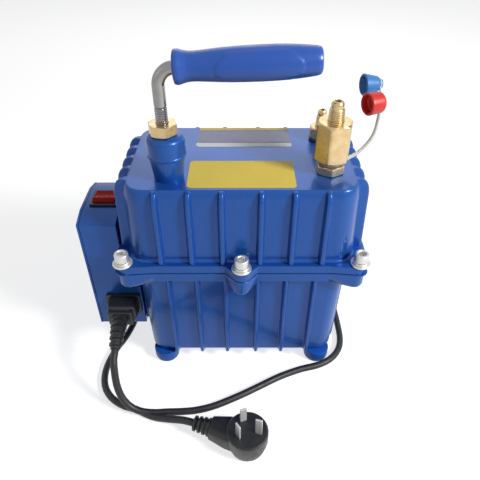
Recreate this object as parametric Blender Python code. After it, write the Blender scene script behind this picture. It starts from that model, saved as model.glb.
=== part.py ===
"""Portable refrigeration vacuum pump: a ribbed two-shell aluminium housing, bolted at a mid flange,
with a motor and rotary vane pump inside, a carrying handle, two brass flare ports with tethered caps,
and a switch box with a plug-in power cord.

Metres, +Z up. +X is the user's right, -Y the front. The origin is on the floor, under the middle of
the pump without its cord.
"""
import math

import bmesh
import bpy
from mathutils import Matrix, Vector

for old in list(bpy.data.objects):
    bpy.data.objects.remove(old)

MM = 0.001
gap = 0.3 * MM              # between faces that rest on each other
screw_gap = 0.3 * MM        # round a bolt in its hole
round_sides = 20            # facets round a turned piece
small_sides = 12            # facets round a bolt, a hole or a spring washer

# Housing
foot_radius = 13 * MM
foot_height = 14 * MM
foot_inset_x = 17.5 * MM    # from the lower wall's outside to the foot's middle
foot_inset_y = 10.3 * MM
foot_edge = 1.5 * MM
lower_height = 119.6 * MM
upper_height = 80.5 * MM
gasket_thickness = 1.0 * MM
wall = 4 * MM
floor_thickness = 5 * MM
upper_half_x = 103 * MM
upper_half_y = 62.3 * MM
upper_draft_x = 2.6 * MM    # how much each upper end wall leans in over its height
upper_draft_y = 1.2 * MM
upper_corner = 20 * MM
rim_inset = 4.2 * MM        # the rim is a quarter of an ellipse, this far in
rim_drop = 15 * MM          # and this far down
shell_step_x = 4.5 * MM     # the lower shell's end walls stand in by this much
lower_half_y = 62.3 * MM
lower_draft = 3.3 * MM
lower_corner = 16 * MM
lower_edge = 5 * MM
flange_reach_x = 12 * MM    # from the upper wall's foot to the flange's edge
flange_reach_y = 7.2 * MM
flange_corner = 20 * MM
flange_lower = 9.2 * MM
flange_upper = 7.5 * MM
flange_edge = 1.2 * MM
rib_width = 5.6 * MM
rib_root = 3.2 * MM         # how far a rib starts inside the wall
rib_fade = 9 * MM           # the length over which a rib's soft end fades
upper_rib_first = 16.6 * MM
upper_rib_pitch = 27.7 * MM
upper_rib_depth = 5.6 * MM
upper_side_rib_depth = 9.6 * MM
upper_rib_stop = 1.2 * MM   # below the top
lower_rib_first = 14.9 * MM
lower_rib_pitch = 26.6 * MM
lower_rib_depth = 5.2 * MM
lower_side_rib_depth = 3.6 * MM
lower_rib_stop = 0.8 * MM   # above the lower shell's foot
side_rib_pitch = 19 * MM

# Flange bolts
bolt_inset_x = 8.4 * MM     # from the flange's edges to the corner bolts
bolt_inset_y = 4.2 * MM
bolt_outset_y = 3.3 * MM    # the middle bolts stand out beyond the flange's edge
lug_radius = 8.7 * MM
lug_drop = 16 * MM
bolt_radius = 4 * MM
bolt_edge = 0.7 * MM
bolt_head_radius = 6.4 * MM
bolt_head_height = 8 * MM
socket_radius = 3.4 * MM
socket_depth = 4.5 * MM
washer_radius = 8.4 * MM
washer_thickness = 1.6 * MM
spring_washer_radius = 6.9 * MM
spring_washer_thickness = 2 * MM
bolt_bite = 13 * MM         # thread length inside the lower flange lug

# Handle
handle_inset_x = 40.5 * MM      # from the upper wall's foot to the rod
handle_inset_y = 26.3 * MM
socket_base_radius = 14.8 * MM
socket_base_height = 22 * MM
socket_head_radius = 16.2 * MM
socket_head_height = 16.5 * MM
rod_radius = 5 * MM
rod_bite = 30 * MM
nut_across = 21 * MM
nut_height = 9 * MM
grip_axis_height = 92.5 * MM    # above the housing's top, at the rod
grip_slope = math.radians(2.6)
rod_bend = 12 * MM
grip_start = 12.5 * MM          # along the grip's axis, from the rod's upright
grip_length = 109 * MM
grip_end_wall = 8 * MM
grip_big = 12.7 * MM
grip_neck = 10.2 * MM
grip_tip = 9.3 * MM

# Ports
front_port_inset = 27 * MM      # from the upper end wall's foot to the port
rear_port_inset = 28 * MM
front_port_y = -27 * MM
rear_port_y = 33 * MM
port_nut_across = 22 * MM
port_nut_height = 7.8 * MM
nipple_radius = 6 * MM
nipple_length = 14 * MM
neck_radius = 6.6 * MM
neck_height = 3.6 * MM
spigot_radius = 5 * MM
spigot_length = 8 * MM
valve_across = 27 * MM
valve_height = 34.5 * MM
front_thread_radius = 6.7 * MM
front_thread_length = 14 * MM
rear_across = 19 * MM
rear_hex_height = 11 * MM
rear_thread_radius = 5.4 * MM
rear_thread_length = 15.5 * MM
flare_cone = 4.2 * MM
port_bore = 2.6 * MM
seal_radius = 10.4 * MM
seal_thickness = 2.4 * MM
chamber_radius = 7.4 * MM
chamber_low = 8.6 * MM          # above the valve body's foot
chamber_high = 29 * MM
poppet_radius = 6.4 * MM
poppet_thickness = 4 * MM
poppet_stem_radius = 2 * MM
spring_wire = 0.7 * MM
spring_radius = 4.2 * MM
spring_turns = 4

# Strap and caps
strap_thickness = 1.7 * MM
strap_width = 5 * MM
strap_ring_radius = 10.2 * MM
strap_ring_gap = 0.4 * MM
cap_radius = 11 * MM
cap_length = 16.5 * MM
cap_bore = 6.9 * MM
cap_bore_depth = 12 * MM
cap_stem_radius = 4.2 * MM
cap_stem_length = 2.7 * MM
cap_button_radius = 6.2 * MM
cap_button_length = 1.8 * MM
cap_ring_radius = 7.6 * MM
cap_ring_gap = 0.4 * MM
red_cap_offset = Vector((17.4, -4.2, 61)) * MM      # from the intake port's foot to the cap's mouth
red_cap_turn = math.radians(22)
blue_cap_offset = Vector((17.2, 19.2, 68.2)) * MM
blue_cap_turn = math.radians(10)

# Control box
box_depth = 33.9 * MM           # from the flange to the cover's seat
box_half_y = 37.5 * MM
box_flat_half_y = 18.8 * MM
box_low = 34 * MM
box_rise = 34.5 * MM            # above the upper shell's foot
box_shoulder = 5 * MM           # how far the top falls away at the front and back
box_step_drop = 12.4 * MM       # below the lower shell's top
box_wall = 3 * MM
box_top_wall = 7.5 * MM
box_cover = 2.5 * MM
box_edge = 1.5 * MM
pad_rise = 3.8 * MM             # the pad's face stands off the lower wall by this much
pad_half_y = 34 * MM
pad_margin = 4 * MM             # from the box's foot and step to the pad
box_screw_radius = 2 * MM
box_screw_head = 3.8 * MM
box_screw_head_height = 2.8 * MM
box_screw_bite = 5.4 * MM
box_screw_inset = 10 * MM       # from the pad's ends to the screws
capacitor_margin = 3.3 * MM     # between the capacitor and the box's walls
capacitor_height = 58 * MM
capacitor_y = 14 * MM

# Rocker switch
bezel_margin = 2 * MM           # from the bezel to the box's end next to the housing
bezel_outer_margin = 4.9 * MM   # and to the cover
switch_y = -2 * MM
bezel_width = 25 * MM
bezel_height = 2.2 * MM
bezel_edge = 0.6 * MM
bezel_corner = 1.5 * MM
bezel_rim = 1.6 * MM            # how far the bezel laps over the hole in the box
switch_depth = 20 * MM
rocker_frame = 2.7 * MM         # the bezel's width round the rocker's pocket
rocker_gap = 0.5 * MM
rocker_pocket = 9.5 * MM
rocker_rise = 5.5 * MM
rocker_dip = 2.4 * MM
rocker_skirt = 1 * MM
rocker_heel = 6 * MM
rocker_lean = 0.8 * MM
rocker_tilt = math.radians(9)

# Power inlet and the connector in it
inlet_shift = 3.9 * MM          # towards the housing from the middle of the box's foot
inlet_z = 64.5 * MM
inlet_flange_x = 35 * MM
inlet_flange_z = 27 * MM
inlet_flange_thickness = 2.6 * MM
inlet_body_x = 28 * MM
inlet_body_z = 20.4 * MM
inlet_depth = 19 * MM
inlet_floor = 2.5 * MM
inlet_wall = 1.6 * MM
blade_x = 2 * MM
blade_z = 4 * MM
blade_spread = 7 * MM
blade_drop = 2 * MM
blade_raise = 3 * MM
blade_inset = 2 * MM
connector_x = 29.5 * MM
connector_z = 21 * MM
connector_length = 15.5 * MM
relief_root = 8 * MM
relief_tip = 4.6 * MM
relief_length = 36 * MM
relief_droop = 7.5 * MM

# Cord and plug
cord_radius = 3.5 * MM
cord_floor = cord_radius + gap
plug_at = Vector((5.4, -158.8, 0)) * MM
plug_turn = math.radians(-16.6)
plug_radius = 19 * MM
plug_height = 27 * MM
plug_edge = 2.5 * MM
plug_cord_height = 13.5 * MM
plug_neck_length = 16 * MM
plug_relief_length = 17 * MM
pin_width = 6.3 * MM
pin_thickness = 1.6 * MM
pin_length = 18 * MM
earth_pin_length = 21 * MM
pin_seat = 5 * MM
pin_circle = 10.3 * MM
pin_angle = math.radians(128)

# Motor and vane pump
axis_z = 75 * MM
motor_margin = 8.8 * MM         # from the shaft's right end to the end wall's inside
pump_margin = 30.2 * MM         # and from its left end
stator_radius = 46 * MM
stator_bore = 25 * MM
winding_inner = 28.5 * MM
winding_outer = 41 * MM
winding_end = 9.5 * MM
slot_count = 6
slot_radius = 3.6 * MM
slot_gap = 0.35 * MM
slot_circle = 34 * MM
air_gap = 0.4 * MM
rotor_overhang = 3 * MM
shaft_radius = 6 * MM
shaft_gap = 0.3 * MM
shaft_running_gap = 0.4 * MM
shell_rim = 3.5 * MM
end_plate = 7 * MM
bearing_radius = 13 * MM
bearing_width = 6 * MM
shaft_stub = 8 * MM
shaft_tail = 1 * MM
cylinder_length = 30 * MM
cylinder_radius = 38 * MM
cylinder_bore = 26 * MM
vane_rotor_radius = 22 * MM
vane_gap = 0.3 * MM
vane_thickness = 3 * MM
vane_height = 9 * MM
end_cover = 7 * MM
cradle_half_y = 33 * MM
cradle_top = 42 * MM
cradle_margin = 7 * MM
tube_radius = 4 * MM
tube_rise = 44 * MM
tube_bend = 18 * MM

# Heights and places that follow
body_bottom = foot_height + gap
lower_top = body_bottom + lower_height
gasket_bottom = lower_top + gap
upper_bottom = gasket_bottom + gasket_thickness + gap
flange_top = upper_bottom + flange_upper
top_z = upper_bottom + upper_height
socket_top = top_z + socket_base_height + socket_head_height
washer_bottom = flange_top + gap
washer_top = washer_bottom + washer_thickness + spring_washer_thickness
lower_half_x = upper_half_x - shell_step_x
flange_half_x = upper_half_x + flange_reach_x
flange_half_y = upper_half_y + flange_reach_y
bolt_corner_x = flange_half_x - bolt_inset_x
bolt_corner_y = flange_half_y - bolt_inset_y
bolt_middle_y = flange_half_y + bolt_outset_y
foot_x = lower_half_x - foot_inset_x
foot_y = lower_half_y - foot_inset_y
handle_x = handle_inset_x - upper_half_x
handle_y = handle_inset_y - upper_half_y
front_port_x = upper_half_x - front_port_inset
rear_port_x = upper_half_x - rear_port_inset
red_cap_mouth = Vector((front_port_x, front_port_y, top_z)) + red_cap_offset
blue_cap_mouth = Vector((front_port_x, front_port_y, top_z)) + blue_cap_offset
inner_half_x = lower_half_x - lower_draft - wall
winding_room = winding_end + 2 * gap + 1 * MM
plate_depth = winding_room + end_plate
shaft_high = inner_half_x - motor_margin
shaft_low = pump_margin - inner_half_x
stator_right = shaft_high - shaft_stub - plate_depth - gap
cylinder_low = shaft_low + shaft_tail + end_cover + gap
stator_left = cylinder_low + cylinder_length + 2 * gap + plate_depth
stator_length = stator_right - stator_left
box_high = upper_bottom + box_rise
box_step_z = lower_top - box_step_drop
pad_reach = lower_half_x + pad_rise
box_inner = flange_half_x + gap
box_inner_low = pad_reach + gap
box_outer = box_inner + box_depth
box_reach = box_outer + gap + box_cover
pad_low = box_low + pad_margin
pad_high = box_step_z - pad_margin
box_screw_low = pad_low + box_screw_inset
box_screw_high = pad_high - box_screw_inset
bezel_length = box_depth - bezel_margin - bezel_outer_margin
switch_x = -box_inner - bezel_margin - bezel_length / 2
switch_length = bezel_length - 2 * bezel_rim
switch_width = bezel_width - 2 * bezel_rim
inlet_x = inlet_shift - (box_outer + box_inner_low) / 2
lug_reach = max(bolt_corner_x + lug_radius, flange_half_x)
housing_x = (box_reach - lug_reach) / 2
bolt_places = {
    "front_left": (-bolt_corner_x, -bolt_corner_y),
    "front_middle": (0, -bolt_middle_y),
    "front_right": (bolt_corner_x, -bolt_corner_y),
    "back_left": (-bolt_corner_x, bolt_corner_y),
    "back_middle": (0, bolt_middle_y),
    "back_right": (bolt_corner_x, bolt_corner_y),
}

pump_origin = bpy.data.objects.new("pump_origin", None)
bpy.context.scene.collection.objects.link(pump_origin)
pump_origin.location = (housing_x, 0, 0)


def material(name, colour, roughness, metallic):
    made = bpy.data.materials.new(name)
    made.use_nodes = True
    shader = made.node_tree.nodes["Principled BSDF"]
    shader.inputs["Base Color"].default_value = (*colour, 1)
    shader.inputs["Roughness"].default_value = roughness
    shader.inputs["Metallic"].default_value = metallic
    made.diffuse_color = (*colour, 1)
    return made


def own_material(name, like):
    """Each sub-part has a material of its own, made like one of these finishes."""
    return material(name + "_finish", *finishes[like])


finishes = {
    "blue_paint": ((0.02, 0.08, 0.42), 0.32, 0.6),
    "blue_rubber": ((0.02, 0.07, 0.4), 0.6, 0.0),
    "black_rubber": ((0.015, 0.015, 0.016), 0.7, 0.0),
    "black_plastic": ((0.02, 0.02, 0.022), 0.45, 0.0),
    "red_plastic": ((0.7, 0.03, 0.02), 0.4, 0.0),
    "blue_plastic": ((0.05, 0.22, 0.6), 0.4, 0.0),
    "clear_plastic": ((0.82, 0.84, 0.8), 0.35, 0.0),
    "zinc": ((0.72, 0.72, 0.7), 0.35, 1.0),
    "chrome": ((0.75, 0.76, 0.78), 0.12, 1.0),
    "brass": ((0.78, 0.55, 0.25), 0.3, 1.0),
    "steel": ((0.5, 0.5, 0.52), 0.4, 1.0),
    "cast_iron": ((0.22, 0.22, 0.23), 0.6, 1.0),
    "copper": ((0.72, 0.34, 0.18), 0.35, 1.0),
    "carbon": ((0.06, 0.06, 0.065), 0.5, 0.2),
}


def add_object(name, mesh, place=(0, 0, 0), parent=pump_origin, smooth_below=40):
    made = bpy.data.objects.new(name, mesh)
    bpy.context.scene.collection.objects.link(made)
    made.parent = parent
    made.location = place
    mesh.shade_smooth()
    mesh.set_sharp_from_angle(angle=math.radians(smooth_below))
    return made


def close_mesh(name, bm, finish):
    bmesh.ops.recalc_face_normals(bm, faces=bm.faces)
    mesh = bpy.data.meshes.new(name)
    bm.to_mesh(mesh)
    bm.free()
    if finish:
        mesh.materials.append(own_material(name, finish))
    return mesh


def piece(name, bm, finish, place=(0, 0, 0), parent=pump_origin):
    return add_object(name, close_mesh(name, bm, finish), place, parent)


def tool(target, kind, name, bm, place=(0, 0, 0), parent=None):
    """Join a hidden solid to target, or cut it away, with an exact Boolean."""
    helper = add_object(name, close_mesh(name, bm, None), place, parent or target.parent)
    helper.hide_render = True
    helper.display_type = "WIRE"
    step = target.modifiers.new(name, "BOOLEAN")
    step.operation = kind
    step.solver = "EXACT"
    step.object = helper
    return helper


def loft(bm, rings):
    """A closed solid through a row of rings, each with as many points."""
    rows = [[bm.verts.new(point) for point in ring] for ring in rings]
    for low, high in zip(rows, rows[1:]):
        for i in range(len(low)):
            j = (i + 1) % len(low)
            bm.faces.new((low[i], low[j], high[j], high[i]))
    bm.faces.new(tuple(reversed(rows[0])))
    bm.faces.new(rows[-1])
    return bm


def circle(radius, sides=round_sides, turn=0.0):
    return [(radius * math.cos(turn + math.tau * i / sides), radius * math.sin(turn + math.tau * i / sides))
            for i in range(sides)]


def rounded(half_x, half_y, corner, steps=4):
    """Corner arcs of a rounded rectangle, anticlockwise from the +X side."""
    points = []
    corners = ((1, 1, 0), (-1, 1, 90), (-1, -1, 180), (1, -1, 270))
    for side_x, side_y, start in corners:
        for i in range(steps + 1):
            angle = math.radians(start + 90 * i / steps)
            points.append((side_x * (half_x - corner) + corner * math.cos(angle),
                           side_y * (half_y - corner) + corner * math.sin(angle)))
    return points


def at_height(outline, z):
    return [(x, y, z) for x, y in outline]


def turned(profile, sides=round_sides, bm=None, centre=(0, 0)):
    """A solid of revolution about Z through (radius, height) pairs."""
    bm = bm or bmesh.new()
    rings = []
    for radius, z in profile:
        rings.append([(centre[0] + x, centre[1] + y, z) for x, y in circle(radius, sides)])
    return loft(bm, rings)


def tube_ring(outer, inner, low, high, sides=round_sides, bm=None, centre=(0, 0)):
    """A plain washer or sleeve about Z."""
    bm = bm or bmesh.new()
    loops = []
    for radius, z in ((outer, low), (outer, high), (inner, high), (inner, low)):
        loops.append([bm.verts.new((centre[0] + x, centre[1] + y, z)) for x, y in circle(radius, sides)])
    for k in range(4):
        here, there = loops[k], loops[(k + 1) % 4]
        for i in range(sides):
            j = (i + 1) % sides
            bm.faces.new((here[i], here[j], there[j], there[i]))
    return bm


def hexagon(across, turn=0.0):
    return circle(across / 2 / math.cos(math.pi / 6), 6, turn)


def lay_along_x(bm, place=(0, 0, 0)):
    """Turn a shape made about Z so that its axis is X, and move it."""
    bmesh.ops.rotate(bm, verts=bm.verts, matrix=Matrix.Rotation(math.pi / 2, 3, "Y"))
    bmesh.ops.translate(bm, verts=bm.verts, vec=place)
    return bm


def block(low, high, bm=None):
    bm = bm or bmesh.new()
    outline = [(low[0], low[1]), (high[0], low[1]), (high[0], high[1]), (low[0], high[1])]
    return loft(bm, [at_height(outline, low[2]), at_height(outline, high[2])])


def chamfer_edges(bm, width, wanted):
    edges = [edge for edge in bm.edges if wanted(edge)]
    bmesh.ops.bevel(bm, geom=edges, offset=width, segments=2, profile=0.5, affect="EDGES", material=-1)
    return bm


def lower_half(z, inset=0.0):
    """Half-sizes of the lower wall's outside at a height."""
    lean = lower_draft * (lower_top - z) / lower_height
    return lower_half_x - lean - inset, lower_half_y - lean - inset


def upper_half(z, inset=0.0):
    way = (z - upper_bottom) / upper_height
    return upper_half_x - upper_draft_x * way - inset, upper_half_y - upper_draft_y * way - inset


def rounded_rim(z_flat, inset, drop, steps=3):
    """Pairs of (height, inset) round an edge that ends flat at z_flat; drop is below it, or above if negative."""
    pairs = []
    for i in range(steps + 1):
        angle = math.pi / 2 * i / steps
        pairs.append((z_flat - drop * (1 - math.sin(angle)), inset * (1 - math.cos(angle))))
    return pairs


def rib(bm, place, outward, depth, z_low, z_high, soft_end, wall_at):
    """One upright rib: a rounded bar that starts inside the wall and fades at its soft end.

    place is how far the rib's middle is along its wall, and wall_at gives the wall's distance
    from the housing's middle at a height.
    """
    along = Vector((-outward.y, outward.x, 0))
    fade = ((0.0, 0.15), (0.4, 0.75), (1.0, 1.0))
    levels = []
    if soft_end == "top":
        levels.append((z_low, 1.0))
        levels += [(z_high - rib_fade * part, share) for part, share in reversed(fade)]
    else:
        levels += [(z_low + rib_fade * part, share) for part, share in fade]
        levels.append((z_high, 1.0))
    rings = []
    for z, share in levels:
        crest = depth * share
        middle = along * place + outward * wall_at(z)
        section = ((-0.5, -rib_root), (-0.44, crest * 0.62), (-0.2, crest), (0.2, crest),
                   (0.44, crest * 0.62), (0.5, -rib_root))
        ring = [middle + along * rib_width * a + outward * d for a, d in section]
        rings.append([(point.x, point.y, z) for point in ring])
    loft(bm, rings)


def ribs(first, pitch, depth, side_depth, low, high, soft_end, half_at, corner, sides=(-1, 1)):
    """All ribs of one shell: pairs on the front and back, an odd row on each end wall.

    half_at gives the wall's half-sizes at a height. As many ribs fit as the flat of the wall has room for.
    """
    bm = bmesh.new()
    half_x, half_y = half_at(upper_bottom)
    pairs = 1 + int((half_x - corner - first) / pitch)
    side_pairs = int((half_y - corner) / side_rib_pitch)
    for face in (-1, 1):
        for hand in (-1, 1):
            for i in range(pairs):
                rib(bm, hand * (first + pitch * i), Vector((0, face, 0)), depth, low, high, soft_end,
                    lambda z: half_at(z)[1])
    for hand in sides:
        for i in range(-side_pairs, side_pairs + 1):
            rib(bm, i * side_rib_pitch, Vector((hand, 0, 0)), side_depth, low, high, soft_end,
                lambda z: half_at(z)[0])
    return bm


def lugs(low, high):
    bm = bmesh.new()
    for x, y in bolt_places.values():
        turned(((lug_radius, low), (lug_radius, high)), 16, bm, (x, y))
    return bm


def bolt_holes(low, high):
    bm = bmesh.new()
    for x, y in bolt_places.values():
        turned(((bolt_radius + screw_gap, low), (bolt_radius + screw_gap, high)), small_sides, bm, (x, y))
    return bm


def flange_plate(low, high, soft):
    """The flange: a rounded plate whose free edge, its top or its bottom, has a small chamfer."""
    body = rounded(flange_half_x, flange_half_y, flange_corner)
    small = rounded(flange_half_x - flange_edge, flange_half_y - flange_edge, flange_corner - flange_edge)
    if soft == "top":
        rings = [at_height(body, low), at_height(body, high - flange_edge), at_height(small, high)]
    else:
        rings = [at_height(small, low), at_height(body, low + flange_edge), at_height(body, high)]
    return loft(bmesh.new(), rings)


def lower_shell():
    bm = bmesh.new()
    rings = []
    for z, inset in reversed(rounded_rim(body_bottom, lower_edge, -lower_edge)):
        half_x, half_y = lower_half(z, inset)
        rings.append(at_height(rounded(half_x, half_y, lower_corner - inset), z))
    half_x, half_y = lower_half(lower_top)
    rings.append(at_height(rounded(half_x, half_y, lower_corner), lower_top))
    shell = piece("lower_shell", loft(bm, rings), "blue_paint")
    tool(shell, "UNION", "lower_flange", flange_plate(lower_top - flange_lower, lower_top, "bottom"))
    tool(shell, "UNION", "lower_lugs", lugs(lower_top - lug_drop, lower_top))
    tool(shell, "UNION", "lower_ribs",
         ribs(lower_rib_first, lower_rib_pitch, lower_rib_depth, lower_side_rib_depth,
              body_bottom + lower_rib_stop, lower_top - flange_lower / 2, "bottom", lower_half,
              lower_corner, sides=(1,)))
    pad = block((-pad_reach, -pad_half_y, pad_low), (-lower_half_x + lower_draft + 1 * MM, pad_half_y, pad_high))
    tool(shell, "UNION", "box_pad", pad)
    inside = bmesh.new()
    low = body_bottom + floor_thickness
    rings = []
    for z in (low, lower_top + 1 * MM):
        half_x, half_y = lower_half(z, wall)
        rings.append(at_height(rounded(half_x, half_y, lower_corner - wall), z))
    tool(shell, "DIFFERENCE", "lower_inside", loft(inside, rings))
    tool(shell, "DIFFERENCE", "lower_bolt_holes",
         bolt_holes(lower_top - bolt_bite - 1 * MM, lower_top + 1 * MM))
    screws = bmesh.new()
    for z in (box_screw_low, box_screw_high):
        hole = bmesh.new()
        turned(((box_screw_radius + screw_gap, -pad_reach - 1 * MM),
                (box_screw_radius + screw_gap, -pad_reach + box_screw_bite + gap)), 12, hole)
        lay_along_x(hole, (0, 0, z))
        merge(screws, hole)
    tool(shell, "DIFFERENCE", "pad_holes", screws)
    return shell


def merge(target, source):
    """Move a bmesh's faces into another bmesh."""
    mesh = bpy.data.meshes.new("merge")
    source.to_mesh(mesh)
    source.free()
    target.from_mesh(mesh)
    bpy.data.meshes.remove(mesh)
    return target


def upper_shell():
    bm = bmesh.new()
    rings = []
    half_x, half_y = upper_half(upper_bottom)
    rings.append(at_height(rounded(half_x, half_y, upper_corner), upper_bottom))
    for z, inset in rounded_rim(top_z, rim_inset, rim_drop):
        half_x, half_y = upper_half(z, inset)
        rings.append(at_height(rounded(half_x, half_y, upper_corner - inset), z))
    shell = piece("upper_shell", loft(bm, rings), "blue_paint")
    tool(shell, "UNION", "upper_flange", flange_plate(upper_bottom, flange_top, "top"))
    tool(shell, "UNION", "upper_lugs", lugs(upper_bottom, flange_top))
    tool(shell, "UNION", "upper_ribs",
         ribs(upper_rib_first, upper_rib_pitch, upper_rib_depth, upper_side_rib_depth,
              upper_bottom + flange_upper / 2, top_z - upper_rib_stop, "top", upper_half, upper_corner))
    groove = 1 * MM
    boss = turned(((socket_base_radius, top_z - wall / 2), (socket_base_radius, top_z + socket_base_height),
                   (socket_head_radius, top_z + socket_base_height + groove),
                   (socket_head_radius, top_z + socket_base_height + socket_head_height - groove),
                   (socket_head_radius - groove, top_z + socket_base_height + socket_head_height)))
    tool(shell, "UNION", "handle_socket", boss, (handle_x, handle_y, 0))
    inside = bmesh.new()
    rings = []
    for z in (upper_bottom - 1 * MM, top_z - wall):
        half_x, half_y = upper_half(z, wall)
        rings.append(at_height(rounded(half_x, half_y, upper_corner - wall), z))
    tool(shell, "DIFFERENCE", "upper_inside", loft(inside, rings))
    holes = bolt_holes(upper_bottom - 1 * MM, flange_top + 1 * MM)
    for x, y in ((front_port_x, front_port_y), (rear_port_x, rear_port_y)):
        turned(((nipple_radius + screw_gap, top_z - wall - 1 * MM),
                (nipple_radius + screw_gap, top_z + 1 * MM)), 16, holes, (x, y))
    turned(((rod_radius + screw_gap, socket_top - rod_bite - gap),
            (rod_radius + screw_gap, socket_top + 1 * MM)), 16, holes, (handle_x, handle_y))
    tool(shell, "DIFFERENCE", "upper_holes", holes)
    return shell


def flange_gasket():
    """A flat seal that follows the flange and is pierced by the bolts."""
    bm = loft(bmesh.new(), [at_height(rounded(flange_half_x - 1 * MM, flange_half_y - 1 * MM, flange_corner),
                                      gasket_bottom + step) for step in (0, gasket_thickness)])
    gasket = piece("flange_gasket", bm, "black_rubber")
    margin = lug_radius - 1 * MM
    ears = bmesh.new()
    for x, y in bolt_places.values():
        turned(((margin, gasket_bottom), (margin, gasket_bottom + gasket_thickness)), 16, ears, (x, y))
    tool(gasket, "UNION", "gasket_ears", ears)
    half_x, half_y = lower_half(lower_top, wall)
    rings = [at_height(rounded(half_x, half_y, lower_corner - wall), gasket_bottom + step)
             for step in (-1 * MM, gasket_thickness + 1 * MM)]
    tool(gasket, "DIFFERENCE", "gasket_inside", loft(bmesh.new(), rings))
    tool(gasket, "DIFFERENCE", "gasket_holes",
         bolt_holes(gasket_bottom - 1 * MM, gasket_bottom + gasket_thickness + 1 * MM))


def flange_bolts():
    """Socket-head cap screws, each on a flat washer with a spring washer."""
    head_low = washer_top + gap
    shank_low = lower_top - bolt_bite
    for name, (x, y) in bolt_places.items():
        bm = turned(((bolt_radius - bolt_edge, shank_low), (bolt_radius, shank_low + bolt_edge),
                     (bolt_radius, head_low), (bolt_head_radius, head_low),
                     (bolt_head_radius, head_low + bolt_head_height - bolt_edge),
                     (bolt_head_radius - bolt_edge, head_low + bolt_head_height)), small_sides)
        bolt = piece("flange_bolt_" + name, bm, "zinc", (x, y, 0))
        key = loft(bmesh.new(), [at_height(circle(socket_radius, 6), head_low + bolt_head_height - socket_depth),
                                 at_height(circle(socket_radius, 6), head_low + bolt_head_height + 1 * MM)])
        tool(bolt, "DIFFERENCE", "key_" + name, key, (x, y, 0))
        ring = bmesh.new()
        inner = bolt_radius + screw_gap
        shoulder = washer_bottom + washer_thickness
        profile = ((inner, washer_bottom), (washer_radius, washer_bottom), (washer_radius, shoulder),
                   (spring_washer_radius, shoulder), (spring_washer_radius, washer_top), (inner, washer_top))
        turned_closed(ring, profile, small_sides)
        piece("flange_washer_" + name, ring, "zinc", (x, y, 0))


def turned_closed(bm, profile, sides=round_sides):
    """A ring of any closed section, turned about Z."""
    loops = [[bm.verts.new((x, y, z)) for x, y in circle(radius, sides)] for radius, z in profile]
    for k in range(len(loops)):
        here, there = loops[k], loops[(k + 1) % len(loops)]
        for i in range(sides):
            j = (i + 1) % sides
            bm.faces.new((here[i], here[j], there[j], there[i]))
    return bm


def feet():
    for name, side_x, side_y in (("front_left", -1, -1), ("front_right", 1, -1),
                                 ("back_left", -1, 1), ("back_right", 1, 1)):
        bm = turned(((foot_radius - 2 * foot_edge, 0), (foot_radius - foot_edge, foot_edge),
                     (foot_radius, foot_height - foot_edge), (foot_radius, foot_height)), 16)
        piece("foot_" + name, bm, "blue_rubber", (side_x * foot_x, side_y * foot_y, 0))


def handle_frame():
    """Corner of the handle's path, and the direction of its grip."""
    corner = Vector((handle_x, handle_y, top_z + grip_axis_height))
    direction = Vector((math.cos(grip_slope), 0, math.sin(grip_slope)))
    return corner, direction


def ring_about(centre, direction, radius, sides=round_sides):
    """Points of a circle round a direction, which lies in the XZ plane or the floor plane."""
    side = direction.cross(Vector((0, 0, 1)))
    if side.length < 0.01:
        side = Vector((0, 1, 0)) * (-1 if direction.z > 0 else 1)
    side.normalize()
    up = side.cross(direction)
    return [centre + side * a + up * b for a, b in circle(radius, sides)]


def handle():
    corner, direction = handle_frame()
    bend = math.pi / 2 - grip_slope
    reach = rod_bend * math.tan(bend / 2)
    foot =Vector((handle_x, handle_y, socket_top - rod_bite))
    start = corner - Vector((0, 0, reach))
    side = Vector((0, 1, 0))
    path = [(foot, Vector((0, 0, 1)))]
    steps = 7
    for i in range(steps + 1):
        angle = bend * i / steps
        point = start + Vector((rod_bend * (1 - math.cos(angle)), 0, rod_bend * math.sin(angle)))
        path.append((point, Vector((math.sin(angle), 0, math.cos(angle)))))
    rod_end = grip_start + grip_length - grip_end_wall - gap
    path.append((corner + direction * rod_end, direction))
    rings = []
    for point, way in path:
        up = side.cross(way)
        rings.append([point + side * a + up * b for a, b in circle(rod_radius, small_sides)])
    bm = loft(bmesh.new(), rings)
    piece("handle_rod", bm, "chrome")

    profile = ((0.0, 0.93), (0.02, 1.0), (0.08, 0.9), (0.17, 0.12), (0.26, 0.0), (0.4, 0.5), (0.54, 0.96),
               (0.64, 1.0), (0.75, 0.86), (0.87, 0.42), (0.95, 0.05))
    rings = []
    for way, swell in profile:
        radius = grip_neck + (grip_big - grip_neck) * swell
        centre = corner + direction * (grip_start + grip_length * way)
        rings.append(ring_about(centre, direction, radius, 16))
    end = corner + direction * (grip_start + grip_length)
    rings.append(ring_about(end - direction * 1.5 * MM, direction, grip_tip, 16))
    rings.append(ring_about(end, direction, grip_tip - 2.5 * MM, 16))
    grip = piece("handle_grip", loft(bmesh.new(), rings), "blue_rubber")
    hole = [ring_about(corner + direction * (grip_start - 1 * MM), direction, rod_radius + gap, small_sides),
            ring_about(end - direction * grip_end_wall, direction, rod_radius + gap, small_sides)]
    tool(grip, "DIFFERENCE", "grip_bore", loft(bmesh.new(), hole))

    nut = loft(bmesh.new(), [at_height(hexagon(nut_across), socket_top + gap),
                             at_height(hexagon(nut_across), socket_top + gap + nut_height)])
    lock = piece("handle_lock_nut", nut, "brass", (handle_x, handle_y, 0))
    bore = turned(((rod_radius + gap, socket_top), (rod_radius + gap, socket_top + nut_height + 1 * MM)), small_sides)
    tool(lock, "DIFFERENCE", "lock_nut_bore", bore, (handle_x, handle_y, 0))


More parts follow.
